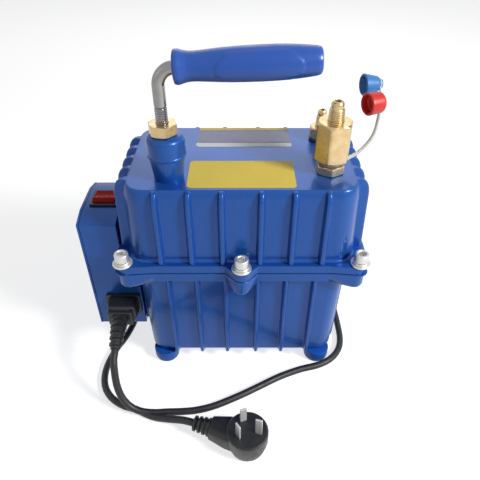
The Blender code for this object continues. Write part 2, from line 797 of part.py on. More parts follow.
def flare(bm, radius, low, high, sides=16):
    """A flare thread and its 45 degree nose, closed at both ends."""
    nose = radius - flare_cone * 0.75
    return turned(((radius - 0.6 * MM, low), (radius - 0.6 * MM, low + 1.2 * MM), (radius, low + 1.8 * MM),
                   (radius, high - flare_cone), (nose, high - 0.6 * MM), (nose - 0.6 * MM, high)), sides, bm)


def front_port():
    """Intake port: a threaded adapter in the housing and a check valve body with the flare on top."""
    place = (front_port_x, front_port_y, 0)
    corner_first = -math.pi / 2
    nut_low = top_z + gap
    nut_high = nut_low + port_nut_height
    neck_high = nut_high + neck_height
    adapter = piece("intake_adapter", loft(bmesh.new(), [
        at_height(hexagon(port_nut_across, corner_first), nut_low),
        at_height(hexagon(port_nut_across, corner_first), nut_high)]), "brass", place)
    stem = turned(((nipple_radius, nut_low - nipple_length), (nipple_radius, nut_low + 1 * MM),
                   (neck_radius, nut_low + 1.2 * MM), (neck_radius, neck_high), (spigot_radius, neck_high),
                   (spigot_radius, neck_high + spigot_length)), 16)
    tool(adapter, "UNION", "adapter_stem", stem, place)
    bore = turned(((port_bore, nut_low - nipple_length - 1 * MM),
                   (port_bore, neck_high + spigot_length + 1 * MM)), 10)
    tool(adapter, "DIFFERENCE", "adapter_bore", bore, place)

    body_low = neck_high + gap
    body_high = body_low + valve_height
    edge = 1.2 * MM
    small = hexagon(valve_across - 2 * edge, corner_first)
    full = hexagon(valve_across, corner_first)
    body = piece("check_valve_body", loft(bmesh.new(), [
        at_height(small, body_low), at_height(full, body_low + edge / 2),
        at_height(full, body_high - edge / 2), at_height(small, body_high)]), "brass", place)
    thread_top = body_high + front_thread_length + flare_cone
    tool(body, "UNION", "front_flare", flare(bmesh.new(), front_thread_radius, body_high - 1 * MM, thread_top), place)
    seat_low = body_low + chamber_high
    bore = turned(((spigot_radius + gap, body_low - 1 * MM), (spigot_radius + gap, body_low + chamber_low),
                   (chamber_radius, body_low + chamber_low + 1 * MM), (chamber_radius, seat_low),
                   (port_bore, seat_low + 1 * MM), (port_bore, thread_top + 1 * MM)), 14)
    tool(body, "DIFFERENCE", "valve_chamber", bore, place)
    spring_low = neck_high + spigot_length + gap + spring_wire
    poppet_top = seat_low - gap
    poppet = turned(((poppet_radius, poppet_top - poppet_thickness), (poppet_radius, poppet_top - 1.2 * MM),
                     (poppet_radius - 1.8 * MM, poppet_top)), 14)
    valve = piece("check_valve_poppet", poppet, "brass", place)
    stem = turned(((poppet_stem_radius, poppet_top - poppet_thickness - 6 * MM),
                   (poppet_stem_radius, poppet_top - 1 * MM)), 8)
    tool(valve, "UNION", "poppet_stem", stem, place)
    return spring_low, poppet_top - poppet_thickness - gap - spring_wire, place, neck_high


def valve_spring(low, high, place):
    """A helical spring of round wire, coiled by a formula."""
    sides = 5
    steps = 10 * spring_turns
    rings = []
    for i in range(steps + 1):
        angle = math.tau * i * spring_turns / steps
        outward = Vector((math.cos(angle), math.sin(angle), 0))
        centre = outward * spring_radius + Vector((0, 0, low + (high - low) * i / steps))
        rings.append([centre + outward * a + Vector((0, 0, b)) for a, b in circle(spring_wire, sides)])
    piece("check_valve_spring", loft(bmesh.new(), rings), "steel", place)


def rear_port():
    place = (rear_port_x, rear_port_y, 0)
    seal_low = top_z + gap
    seal = tube_ring(seal_radius, nipple_radius + gap, seal_low, seal_low + seal_thickness, 16)
    piece("exhaust_port_seal", seal, "black_rubber", place)
    low = seal_low + seal_thickness + gap
    high = low + rear_hex_height
    turn = math.radians(-60)
    port = piece("exhaust_port", loft(bmesh.new(), [at_height(hexagon(rear_across, turn), low),
                                                    at_height(hexagon(rear_across, turn), high)]),
                 "brass", place)
    nipple = turned(((nipple_radius, top_z - nipple_length), (nipple_radius, low + 1 * MM)), 14)
    tool(port, "UNION", "rear_nipple", nipple, place)
    thread_top = high + rear_thread_length
    tool(port, "UNION", "rear_flare", flare(bmesh.new(), rear_thread_radius, high - 1 * MM, thread_top, 14), place)
    bore = turned(((port_bore, top_z - nipple_length - 1 * MM), (port_bore, thread_top + 1 * MM)), 10)
    tool(port, "DIFFERENCE", "rear_bore", bore, place)


def cap_axis(turn):
    """Direction from a cap's mouth towards its closed end."""
    return Vector((math.cos(turn), math.sin(turn), 0))


def eye_direction(turn, tilt):
    """Direction in the plane of a cap's eye, raised by tilt from the level."""
    return Vector((-math.sin(turn) * math.cos(tilt), math.cos(turn) * math.cos(tilt), math.sin(tilt)))


def cap(name, finish, mouth, turn, pivot, taper):
    """A push-on thread cap: a cup with a stem and a button that hold it in the strap's ring."""
    bm = turned_cup(taper)
    lay_along_x(bm)
    bmesh.ops.rotate(bm, verts=bm.verts, matrix=Matrix.Rotation(turn, 3, "Z"))
    holder = bpy.data.objects.new(name + "_axis", None)
    bpy.context.scene.collection.objects.link(holder)
    holder.parent = pivot
    holder.location = mouth - pivot.location
    piece(name, bm, finish, (0, 0, 0), holder)


def turned_cup(taper):
    """Section of the cap about Z, mouth at z = 0, turned in one closed loop of rings."""
    bm = bmesh.new()
    sides = 16
    stem_low = cap_length
    button_low = cap_length + cap_stem_length
    outline = ((cap_bore, 0), (cap_radius - 1 * MM, 0), (cap_radius, 1.5 * MM), (cap_radius - taper, cap_length - 2 * MM),
               (cap_radius - taper - 2 * MM, cap_length), (cap_stem_radius, stem_low),
               (cap_stem_radius, button_low), (cap_button_radius, button_low),
               (cap_button_radius, button_low + cap_button_length))
    loops = [[bm.verts.new((x, y, z)) for x, y in circle(radius, sides)] for radius, z in outline]
    inner = [bm.verts.new((x, y, cap_bore_depth)) for x, y in circle(cap_bore, sides)]
    for here, there in list(zip(loops, loops[1:])) + [(inner, loops[0])]:
        for i in range(sides):
            j = (i + 1) % sides
            bm.faces.new((here[i], here[j], there[j], there[i]))
    bm.faces.new(loops[-1])
    bm.faces.new(tuple(reversed(inner)))
    return bm


def smooth_path(points, spacing):
    """Evenly spaced points along a Catmull-Rom curve through the given ones."""
    ends = [points[0] * 2 - points[1]] + list(points) + [points[-1] * 2 - points[-2]]
    dense = []
    for k in range(1, len(ends) - 2):
        a, b, c, d = ends[k - 1:k + 3]
        for i in range(24):
            t = i / 24
            dense.append(0.5 * ((b * 2) + (c - a) * t + (a * 2 - b * 5 + c * 4 - d) * t * t
                                + (b * 3 - a - c * 3 + d) * t * t * t))
    dense.append(points[-1])
    total = sum((q - p).length for p, q in zip(dense, dense[1:]))
    count = max(2, round(total / spacing))
    picked = [dense[0]]
    walked = 0.0
    for p, q in zip(dense, dense[1:]):
        step = (q - p).length
        while len(picked) < count and walked + step >= total * len(picked) / count:
            share = (total * len(picked) / count - walked) / step
            picked.append(p.lerp(q, share))
        walked += step
    picked.append(dense[-1])
    return picked


def strap_and_caps(neck_low):
    """The soft strap: a ring round the adapter's neck, a ribbon, and a ring for each cap's stem."""
    pivot = bpy.data.objects.new("strap_pivot", None)
    bpy.context.scene.collection.objects.link(pivot)
    pivot.parent = pump_origin
    pivot.location = (front_port_x, front_port_y, neck_low)
    origin = pivot.location
    ring_low = (neck_height - strap_thickness) / 2
    ring = tube_ring(strap_ring_radius, neck_radius + strap_ring_gap, ring_low, ring_low + strap_thickness, 16)
    strap = piece("cap_strap", ring, "clear_plastic", (0, 0, 0), pivot)
    rings = []
    for mouth, turn in ((red_cap_mouth, red_cap_turn), (blue_cap_mouth, blue_cap_turn)):
        centre = mouth - origin + cap_axis(turn) * (cap_length + cap_stem_length / 2)
        rings.append((centre, turn))
    red_centre, blue_centre = rings[0][0], rings[1][0]
    overlap = cap_ring_radius - 1.2 * MM
    down = Vector((0, 0, overlap))
    start = Vector((strap_ring_radius - 1 * MM, 0, neck_height / 2))
    rise = red_centre.z - start.z
    path = smooth_path([start, start + Vector((6 * MM, 0.3 * MM, 1.2 * MM)),
                        start + Vector((16 * MM, 1 * MM, rise * 0.2)),
                        start + Vector((24.5 * MM, 2 * MM, rise * 0.48)),
                        red_centre - down - Vector((0, 0, 9 * MM)), red_centre - down], 4 * MM)
    sideways = Vector((0, 1, 0))
    red_side = Vector((-math.sin(red_cap_turn), math.cos(red_cap_turn), 0))
    across = [sideways.lerp(red_side, min(1, 1.4 * i / (len(path) - 1))) for i in range(len(path))]
    tool(strap, "UNION", "strap_ribbon", ribbon(path, across), (0, 0, 0), pivot)
    for name, (centre, turn) in zip(("red", "blue"), rings):
        eye = tube_ring(cap_ring_radius, cap_stem_radius + cap_ring_gap, -strap_thickness / 2,
                        strap_thickness / 2, 14)
        lay_along_x(eye)
        bmesh.ops.rotate(eye, verts=eye.verts, matrix=Matrix.Rotation(turn, 3, "Z"))
        tool(strap, "UNION", name + "_eye", eye, tuple(centre), pivot)
    apart = blue_centre - red_centre
    tilt = math.atan2(apart.z, apart.y)
    ends = [centre + side * eye_direction(turn, tilt) * overlap
            for (centre, turn), side in zip(rings, (1, -1))]
    link = ribbon(ends, [cap_axis(0).cross(apart)] * 2)
    tool(strap, "UNION", "strap_link", link, (0, 0, 0), pivot)
    cap("red_cap", "red_plastic", red_cap_mouth, red_cap_turn, pivot, 0.6 * MM)
    cap("blue_cap", "blue_plastic", blue_cap_mouth, blue_cap_turn, pivot, 2.2 * MM)


def ribbon(path, across):
    """A flat strip along a path; across holds the strip's width direction at each point."""
    rings = []
    half = strap_thickness / 2 - 0.05 * MM
    wide = strap_width / 2
    for i, point in enumerate(path):
        way = path[min(i + 1, len(path) - 1)] - path[max(i - 1, 0)]
        normal = across[i].cross(way).normalized()
        side = way.cross(normal).normalized()
        rings.append([point + side * a * wide + normal * b * half
                      for a, b in ((-1, -1), (1, -1), (1, 1), (-1, 1))])
    return loft(bmesh.new(), rings)


def box_profile(reach, inner_high, inner_low, low, high, step_z):
    """Outline of the control box seen from the front: it steps in under the flange."""
    return [(-reach, low), (-inner_low, low), (-inner_low, step_z), (-inner_high, step_z),
            (-inner_high, high), (-reach, high)]


def control_box():
    rings = []
    for y, fall in ((-box_half_y, box_shoulder), (-box_flat_half_y, 0), (box_flat_half_y, 0),
                    (box_half_y, box_shoulder)):
        outline = box_profile(box_outer, box_inner, box_inner_low, box_low, box_high - fall, box_step_z)
        rings.append([(x, y, z) for x, z in outline])
    bm = loft(bmesh.new(), rings)

    def outer_edge(edge):
        a, b = (vert.co for vert in edge.verts)
        on_end = all(abs(abs(point.y) - box_half_y) < 0.1 * MM for point in (a, b))
        on_top = all(point.z > box_high - box_shoulder - 0.1 * MM for point in (a, b))
        on_floor = all(point.z < box_low + 0.1 * MM for point in (a, b))
        return on_end and (on_top or on_floor)

    chamfer_edges(bm, box_edge, outer_edge)
    box = piece("control_box", bm, "blue_paint")
    rings = []
    for y in (-box_half_y + box_wall, box_half_y - box_wall):
        outline = box_profile(box_outer + 1 * MM, box_inner + box_wall, box_inner_low + box_wall,
                              box_low + box_wall, box_high - box_top_wall, box_step_z - box_wall)
        rings.append([(x, y, z) for x, z in outline])
    tool(box, "DIFFERENCE", "box_inside", loft(bmesh.new(), rings))
    hole_x = switch_length / 2 + gap
    hole_y = switch_width / 2 + gap
    holes = block((switch_x - hole_x, switch_y - hole_y, box_high - box_top_wall - 1 * MM),
                  (switch_x + hole_x, switch_y + hole_y, box_high + 1 * MM))
    hole_x = inlet_body_x / 2 + gap
    hole_z = inlet_body_z / 2 + gap
    block((inlet_x - hole_x, -box_half_y - 1 * MM, inlet_z - hole_z),
          (inlet_x + hole_x, -box_half_y + box_wall + 1 * MM, inlet_z + hole_z), holes)
    for z in (box_screw_low, box_screw_high):
        hole = turned(((box_screw_radius + screw_gap, -box_inner_low - box_wall - 1 * MM),
                       (box_screw_radius + screw_gap, -box_inner_low + 1 * MM)), 12)
        merge(holes, lay_along_x(hole, (0, 0, z)))
    tool(box, "DIFFERENCE", "box_holes", holes)

    rings = []
    for y, fall in ((-box_half_y, box_shoulder), (-box_flat_half_y, 0), (box_flat_half_y, 0),
                    (box_half_y, box_shoulder)):
        rings.append([(x, y, z) for x, z in ((-box_reach, box_low), (-box_outer - gap, box_low),
                                             (-box_outer - gap, box_high - fall), (-box_reach, box_high - fall))])
    piece("control_box_cover", loft(bmesh.new(), rings), "blue_paint")

    head_face = -box_inner_low - box_wall - gap
    for name, z in (("lower", box_screw_low), ("upper", box_screw_high)):
        screw = turned(((box_screw_head, head_face - box_screw_head_height), (box_screw_head, head_face),
                        (box_screw_radius, head_face), (box_screw_radius, -pad_reach + box_screw_bite)), 10)
        piece("box_screw_" + name, lay_along_x(screw, (0, 0, z)), "zinc")
    low = box_low + box_wall + gap
    high = low + capacitor_height
    edge = 1 * MM
    middle_x = -(box_outer + box_inner + box_wall) / 2
    radius = (box_outer - box_inner - box_wall) / 2 - capacitor_margin
    can = turned(((radius - edge, low), (radius, low + edge), (radius, high - edge), (radius - edge, high)), 16)
    piece("run_capacitor", can, "steel", (middle_x, capacitor_y, 0))


def rocker_switch():
    bezel_low = box_high + gap
    bezel_high = bezel_low + bezel_height
    body_x, body_y = switch_length / 2, switch_width / 2
    wide = rounded(bezel_length / 2, bezel_width / 2, bezel_corner, 2)
    slim = rounded(bezel_length / 2 - bezel_edge, bezel_width / 2 - bezel_edge, bezel_corner - bezel_edge, 2)
    bm = loft(bmesh.new(), [at_height(wide, bezel_low), at_height(wide, bezel_high - bezel_edge),
                            at_height(slim, bezel_high)])
    frame = piece("switch_frame", bm, "black_plastic", (switch_x, switch_y, 0))
    body = block((-body_x, -body_y, bezel_low - switch_depth), (body_x, body_y, bezel_low + bezel_height / 2))
    tool(frame, "UNION", "switch_body", body, (switch_x, switch_y, 0))
    half_x = bezel_length / 2 - rocker_frame
    half_y = bezel_width / 2 - rocker_frame
    pocket = block((-half_x, -half_y, bezel_low - rocker_pocket), (half_x, half_y, bezel_high + 1 * MM))
    tool(frame, "DIFFERENCE", "rocker_pocket", pocket, (switch_x, switch_y, 0))
    pivot = bpy.data.objects.new("rocker_pivot", None)
    bpy.context.scene.collection.objects.link(pivot)
    pivot.parent = pump_origin
    pivot.location = (switch_x, switch_y, bezel_low)
    half = half_y - rocker_gap
    heel = half * 0.4
    slope = (rocker_rise - rocker_dip) * 0.3
    outline = [(-half + rocker_lean, rocker_rise), (-half, -rocker_skirt), (-heel, -rocker_heel),
               (heel, -rocker_heel), (half, -rocker_skirt), (half - rocker_lean, rocker_rise),
               (half * 0.45, rocker_dip + slope), (0, rocker_dip), (-half * 0.45, rocker_dip + slope)]
    rings = [[(x, y, z) for y, z in outline] for x in (-half_x + rocker_gap, half_x - rocker_gap)]
    bm = loft(bmesh.new(), rings)
    bmesh.ops.rotate(bm, verts=bm.verts, matrix=Matrix.Rotation(-rocker_tilt, 3, "X"))
    piece("rocker", bm, "red_plastic", (0, 0, 0), pivot)


def inlet_outline(half_x, half_z, corner):
    return rounded(half_x, half_z, corner, 3)


def inlet_blades(extra, deep, shallow):
    """The three contact blades, or with extra the slots that they enter."""
    bm = bmesh.new()
    for x, z in ((-blade_spread, -blade_drop), (blade_spread, -blade_drop), (0, blade_raise)):
        block((x - blade_x / 2 - extra, shallow, z - blade_z / 2 - extra),
              (x + blade_x / 2 + extra, deep, z + blade_z / 2 + extra), bm)
    return bm


def power_inlet():
    """Appliance inlet in the front of the box, and the moulded connector that plugs into it."""
    face = -box_half_y - gap
    outer = face - inlet_flange_thickness
    place = (inlet_x, 0, inlet_z)
    plate = inlet_outline(inlet_flange_x / 2, inlet_flange_z / 2, 3 * MM)
    inlet = piece("power_inlet", loft(bmesh.new(), [[(x, y, z) for x, z in plate] for y in (outer, face)]),
                  "black_plastic", place)
    can = block((-inlet_body_x / 2, face - 1 * MM, -inlet_body_z / 2),
                (inlet_body_x / 2, face + inlet_depth, inlet_body_z / 2))
    tool(inlet, "UNION", "inlet_body", can, place)
    socket_x = inlet_body_x / 2 - inlet_wall
    socket_z = inlet_body_z / 2 - inlet_wall
    cavity_end = face + inlet_depth - inlet_floor
    cavity = block((-socket_x, outer - 1 * MM, -socket_z), (socket_x, cavity_end, socket_z))
    tool(inlet, "DIFFERENCE", "inlet_socket", cavity, place)
    tool(inlet, "UNION", "inlet_blades", inlet_blades(0, cavity_end + 1 * MM, outer + blade_inset), place)

    nose_x = socket_x - gap
    nose_z = socket_z - gap
    shoulder = outer - gap
    tail = shoulder - connector_length
    steps = []
    for y, half_x, half_z, corner in ((cavity_end - gap, nose_x, nose_z, 1.5 * MM), (shoulder, nose_x, nose_z, 1.5 * MM),
                                      (shoulder, connector_x / 2, connector_z / 2, 3 * MM),
                                      (tail + 3 * MM, connector_x / 2 - 0.6 * MM, connector_z / 2 - 0.4 * MM, 4 * MM),
                                      (tail, connector_x / 2 - 4 * MM, connector_z / 2 - 2.5 * MM, 5 * MM)):
        steps.append([(x, y, z) for x, z in inlet_outline(half_x, half_z, corner)])
    rings = 5
    for i in range(rings + 1):
        way = i / rings
        radius = relief_root + (relief_tip - relief_root) * way
        centre = Vector((0, tail - 0.5 * MM - relief_length * way, -relief_droop * way * way))
        slope = Vector((0, -relief_length, -2 * relief_droop * way)).normalized()
        up = Vector((0, slope.z, -slope.y))
        outline = inlet_outline(radius, radius, radius - 0.01 * MM)
        steps.append([centre + Vector((x, 0, 0)) + up * z for x, z in outline])
    plug = piece("cord_connector", loft(bmesh.new(), steps), "black_rubber", place)
    tool(plug, "DIFFERENCE", "connector_slots",
         inlet_blades(gap, cavity_end + 1 * MM, outer + blade_inset - gap), place)
    exit_point = Vector((inlet_x, tail - 0.5 * MM - relief_length, inlet_z - relief_droop))
    return exit_point, Vector((0, -relief_length, -2 * relief_droop)).normalized()


def wall_plug():
    """Three-pin wall plug lying on its back, with a side cord outlet."""
    turn = Matrix.Rotation(plug_turn, 3, "Z")
    bm = turned(((plug_radius - 3 * plug_edge, 0), (plug_radius - plug_edge, plug_edge),
                 (plug_radius, plug_height / 2), (plug_radius, plug_height - plug_edge / 2),
                 (plug_radius - plug_edge / 2, plug_height)), 24)
    plug = piece("wall_plug", bm, "black_rubber", plug_at)
    neck_end = plug_radius + plug_neck_length
    tip = neck_end + plug_relief_length
    sections = ((plug_radius * 0.3, 14 * MM, 11 * MM, 6 * MM), (plug_radius, 13 * MM, 10.5 * MM, 6 * MM),
                (neck_end, 9.5 * MM, 9 * MM, 6 * MM), (neck_end + 1 * MM, 8 * MM, 8 * MM, 7.9 * MM),
                (tip, relief_tip, relief_tip, relief_tip - 0.01 * MM))
    rings = []
    for x, half_y, half_z, corner in sections:
        rings.append([turn @ Vector((-x, y, plug_cord_height + z))
                      for y, z in inlet_outline(half_y, half_z, corner)])
    tool(plug, "UNION", "plug_neck", loft(bmesh.new(), rings), plug_at)
    slots = bmesh.new()
    for name, angle, across, length in (("earth", 0, 0, earth_pin_length), ("line", pin_angle, math.pi / 2, pin_length),
                                        ("neutral", -pin_angle, math.pi / 2, pin_length)):
        place = turn @ Vector((pin_circle * math.cos(angle), pin_circle * math.sin(angle), 0))
        spin = Matrix.Rotation(plug_turn + angle + across, 3, "Z")
        for extra, target in ((0, None), (gap, slots)):
            half_x, half_y = pin_width / 2 + extra, pin_thickness / 2 + extra
            low = plug_height - pin_seat - extra
            high = plug_height + length
            blade = block((-half_x, -half_y, low), (half_x, half_y, high))
            bmesh.ops.rotate(blade, verts=blade.verts, matrix=spin)
            bmesh.ops.translate(blade, verts=blade.verts, vec=place)
            if target is None:
                piece("plug_pin_" + name, blade, "steel", plug_at)
            else:
                merge(slots, blade)
    tool(plug, "DIFFERENCE", "pin_slots", slots, plug_at)
    direction = turn @ Vector((-1, 0, 0))
    return plug_at + Vector((0, 0, plug_cord_height)) + direction * tip, direction


def power_cord(start, start_way, end, end_way):
    """Round three-core cord: from the connector down to the floor, along the front, once round
    the back of the pump and into the wall plug."""
    floor = cord_floor
    straight = 4 * MM           # the cord leaves each end square to it
    route = [start + start_way * straight, start + start_way * 10 * MM]
    for x, y, z in ((-121.5, -108, 45), (-119, -117, 31), (-113, -123.5, 18), (-102.5, -127, 8.5),
                    (-88, -127.5, 4.3)):
        route.append(Vector((x, y, z)) * MM)
    for x, y in ((-72, -126.5), (-57, -126), (-43, -124.4), (-26, -119.5), (-2, -108.3),
                 (18, -97.5), (40, -85.5), (62, -76.5), (82, -70.8), (97, -62), (107, -49), (111, -34),
                 (111.5, -16), (111, 4), (110, 28), (107.5, 52), (100, 76), (84, 94), (60, 105), (25, 110.5),
                 (0, 111.5), (-21, 117), (-37, 130), (-42, 148), (-36, 166), (-20, 178), (0, 181),
                 (20, 175), (34, 161)):
        route.append(Vector((x * MM, y * MM, floor)))
    for x, y, rise in ((40, 143, 0.6), (38, 128, 4.2), (31, 116.5, 7.4), (20, 108, 7.9), (6, 102, 6.2),
                       (-10, 98.5, 2.6)):
        route.append(Vector((x * MM, y * MM, floor + rise * MM)))
    for x, y in ((-30, 97.5), (-55, 96.5), (-78, 92), (-99, 82), (-115, 64), (-122, 40), (-124, 12),
                 (-125.5, -12), (-131, -33), (-138, -50), (-142.5, -68), (-143, -84),
                 (-139, -99), (-130, -111), (-117, -119.5), (-104, -123.5)):
        route.append(Vector((x * MM, y * MM, floor)))
    for reach, height in ((44, 0.2), (27, 3.7), (12, 8.9)):
        route.append(Vector((end.x, end.y, floor)) + (end_way * reach + Vector((0, 0, height))) * MM)
    route.append(end + end_way * straight)
    points = [start + start_way * gap] + smooth_path(route, 17.5 * MM) + [end + end_way * gap]
    curve = bpy.data.curves.new("power_cord", "CURVE")
    curve.dimensions = "3D"
    curve.bevel_depth = cord_radius
    curve.bevel_resolution = 2
    curve.use_fill_caps = True
    spline = curve.splines.new("POLY")
    spline.points.add(len(points) - 1)
    for slot, point in zip(spline.points, points):
        slot.co = (*point, 1)
    curve.materials.append(own_material("power_cord", "black_rubber"))
    cord = bpy.data.objects.new("power_cord", curve)
    bpy.context.scene.collection.objects.link(cord)
    cord.parent = pump_origin
    length = sum((q - p).length for p, q in zip(points, points[1:]))
    print("cord points", len(points), "length", round(length, 4))


def about_shaft(bm, x):
    """Lay a shape made about Z along the shaft's axis, its foot at x."""
    return lay_along_x(bm, (x, 0, axis_z))


def motor_and_pump():
    core =tube_ring(stator_radius, stator_bore, 0, stator_length, 24)
    stator = piece("stator_core", about_shaft(core, stator_left), "cast_iron")
    slots = bmesh.new()
    bars = bmesh.new()
    for i in range(slot_count):
        angle = math.tau * (i + 0.5) / slot_count
        centre = (slot_circle * math.cos(angle), slot_circle * math.sin(angle))
        turned(((slot_radius, -1 * MM), (slot_radius, stator_length + 1 * MM)), 8, slots, centre)
        turned(((slot_radius - slot_gap, -gap - 1 * MM), (slot_radius - slot_gap, stator_length + gap + 1 * MM)), 8,
               bars, centre)
    tool(stator, "DIFFERENCE", "stator_slots", about_shaft(slots, stator_left))
    ends = tube_ring(winding_outer, winding_inner, -gap - winding_end, -gap, 20)
    tube_ring(winding_outer, winding_inner, stator_length + gap, stator_length + gap + winding_end, 20, ends)
    windings = piece("stator_windings", about_shaft(ends, stator_left), "copper")
    tool(windings, "UNION", "winding_bars", about_shaft(bars, stator_left))

    shaft_holder = bpy.data.objects.new("shaft_axis", None)
    bpy.context.scene.collection.objects.link(shaft_holder)
    shaft_holder.parent = pump_origin
    shaft_holder.location = (0, 0, axis_z)

    def on_shaft(name, bm, finish, x):
        return piece(name, lay_along_x(bm, (x, 0, 0)), finish, (0, 0, 0), shaft_holder)

    rotor = tube_ring(stator_bore - air_gap, shaft_radius + shaft_gap, -rotor_overhang,
                      stator_length + rotor_overhang, 20)
    on_shaft("motor_rotor", rotor, "steel", stator_left)

    for name, x, facing in (("motor_end_plate", stator_right + gap, 1), ("pump_front_plate", stator_left - gap, -1)):
        bm = bmesh.new()
        outline = ((stator_radius, 0), (stator_radius, plate_depth), (shaft_radius + shaft_running_gap, plate_depth),
                   (shaft_radius + shaft_running_gap, plate_depth - 1 * MM),
                   (bearing_radius + gap, plate_depth - 1 * MM), (bearing_radius + gap, winding_room),
                   (stator_radius - shell_rim, winding_room), (stator_radius - shell_rim, 0))
        turned_closed(bm, [(radius, z * facing) for radius, z in outline], 20)
        piece(name, about_shaft(bm, x), "cast_iron")
        bearing = tube_ring(bearing_radius, shaft_radius + shaft_running_gap, 0, bearing_width - gap, 16)
        seat = x + facing * (winding_room + (0 if facing > 0 else bearing_width - gap))
        piece("bearing_" + ("right" if facing > 0 else "left"), about_shaft(bearing, seat), "steel")

    cylinder_high = cylinder_low + cylinder_length
    offset = cylinder_bore - vane_rotor_radius - vane_gap
    body = turned(((cylinder_radius, 0), (cylinder_radius, cylinder_length)), 24)
    cylinder = piece("pump_cylinder", about_shaft(body, cylinder_low), "cast_iron")
    bore = turned(((cylinder_bore, -1 * MM), (cylinder_bore, cylinder_length + 1 * MM)), 24)
    tool(cylinder, "DIFFERENCE", "cylinder_bore", lay_along_x(bore, (cylinder_low, 0, axis_z - offset)))
    port = turned(((tube_radius + gap, axis_z + cylinder_bore - offset - 2 * MM),
                   (tube_radius + gap, axis_z + cylinder_radius + 1 * MM)), 14)
    port_x = (cylinder_low + cylinder_high) / 2
    tool(cylinder, "DIFFERENCE", "intake_hole", port, (port_x, 0, 0))

    lid = tube_ring(cylinder_radius, shaft_radius + shaft_running_gap, 0, end_cover, 20)
    piece("pump_end_cover", about_shaft(lid, cylinder_low - gap - end_cover), "cast_iron")

    vane_side = gap
    drum_length = cylinder_length - 2 * vane_side
    drum = tube_ring(vane_rotor_radius, shaft_radius + shaft_gap, 0, drum_length, 24)
    vane_rotor = on_shaft("vane_rotor", drum, "steel", cylinder_low + vane_side)
    slot_bottom = vane_rotor_radius - vane_height - 2 * gap
    cuts = bmesh.new()
    for side in (-1, 1):
        low_y, high_y = sorted((side * slot_bottom, side * (vane_rotor_radius + 1 * MM)))
        block((cylinder_low - 1 * MM, low_y, -vane_thickness / 2 - gap),
              (cylinder_high + 1 * MM, high_y, vane_thickness / 2 + gap), cuts)
    tool(vane_rotor, "DIFFERENCE", "vane_slots", cuts, (0, 0, 0), shaft_holder)
    for name, side in (("vane_front", -1), ("vane_back", 1)):
        low_y, high_y = sorted((side * (slot_bottom + gap), side * (slot_bottom + gap + vane_height)))
        bm = block((cylinder_low + vane_side, low_y, -vane_thickness / 2),
                   (cylinder_low + vane_side + drum_length, high_y, vane_thickness / 2))
        piece(name, bm, "carbon", (0, 0, 0), shaft_holder)

    edge = 1 * MM
    shaft =turned(((shaft_radius - edge, shaft_low), (shaft_radius, shaft_low + edge),
                    (shaft_radius, shaft_high - edge), (shaft_radius - edge, shaft_high)), 16)
    on_shaft("pump_shaft", shaft, "steel", 0)

    floor = body_bottom + floor_thickness + gap
    base = block((stator_left + cradle_margin, -cradle_half_y, floor),
                 (stator_right - cradle_margin, cradle_half_y, cradle_top))
    cradle = piece("motor_cradle", base, "cast_iron")
    seat = turned(((stator_radius + gap, 0), (stator_radius + gap, stator_length)), 24)
    tool(cradle, "DIFFERENCE", "cradle_seat", about_shaft(seat, stator_left))
    return port_x


def intake_tube(port_x, adapter_foot):
    """Copper tube from the pump cylinder up to the intake adapter."""
    start = Vector((port_x, 0, axis_z + cylinder_radius - 3 * MM))
    end = Vector((front_port_x, front_port_y, adapter_foot - gap))
    level = start.z + tube_rise
    flat = Vector((end.x - start.x, end.y - start.y, 0)).normalized()
    route = [start]
    steps = 6
    for i in range(steps + 1):
        angle = math.pi / 2 * i / steps
        route.append(Vector((start.x, start.y, level - tube_bend)) + flat * tube_bend * (1 - math.cos(angle))
                     + Vector((0, 0, tube_bend * math.sin(angle))))
    for i in range(steps + 1):
        angle = math.pi / 2 * (1 - i / steps)
        route.append(Vector((end.x, end.y, level + tube_bend)) - flat * tube_bend * (1 - math.cos(angle))
                     - Vector((0, 0, tube_bend * math.sin(angle))))
    route.append(end)
    curve = bpy.data.curves.new("intake_tube", "CURVE")
    curve.dimensions = "3D"
    curve.bevel_depth = tube_radius
    curve.bevel_resolution = 3
    curve.use_fill_caps = True
    spline = curve.splines.new("POLY")
    spline.points.add(len(route) - 1)
    for slot, point in zip(spline.points, route):
        slot.co = (*point, 1)
    curve.materials.append(own_material("intake_tube", "copper"))
    tube = bpy.data.objects.new("intake_tube", curve)
    bpy.context.scene.collection.objects.link(tube)
    tube.parent = pump_origin


lower_shell()
upper_shell()
flange_gasket()
flange_bolts()
feet()
handle()
spring_foot, spring_top, port_place, neck_top = front_port()
valve_spring(spring_foot, spring_top, port_place)
rear_port()
strap_and_caps(neck_top - neck_height)
control_box()
rocker_switch()
connector_end, connector_way = power_inlet()
plug_end, plug_way = wall_plug()
power_cord(connector_end, connector_way, plug_end, plug_way)
intake_tube(motor_and_pump(), top_z + gap - nipple_length)
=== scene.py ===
"""Looks of a portable refrigeration vacuum pump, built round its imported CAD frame.

Metres, +Z up. The pump stands on a pale floor, its front towards -Y and its switch box towards -X.
"""
import math

import bmesh
import bpy
from mathutils import Matrix, Vector


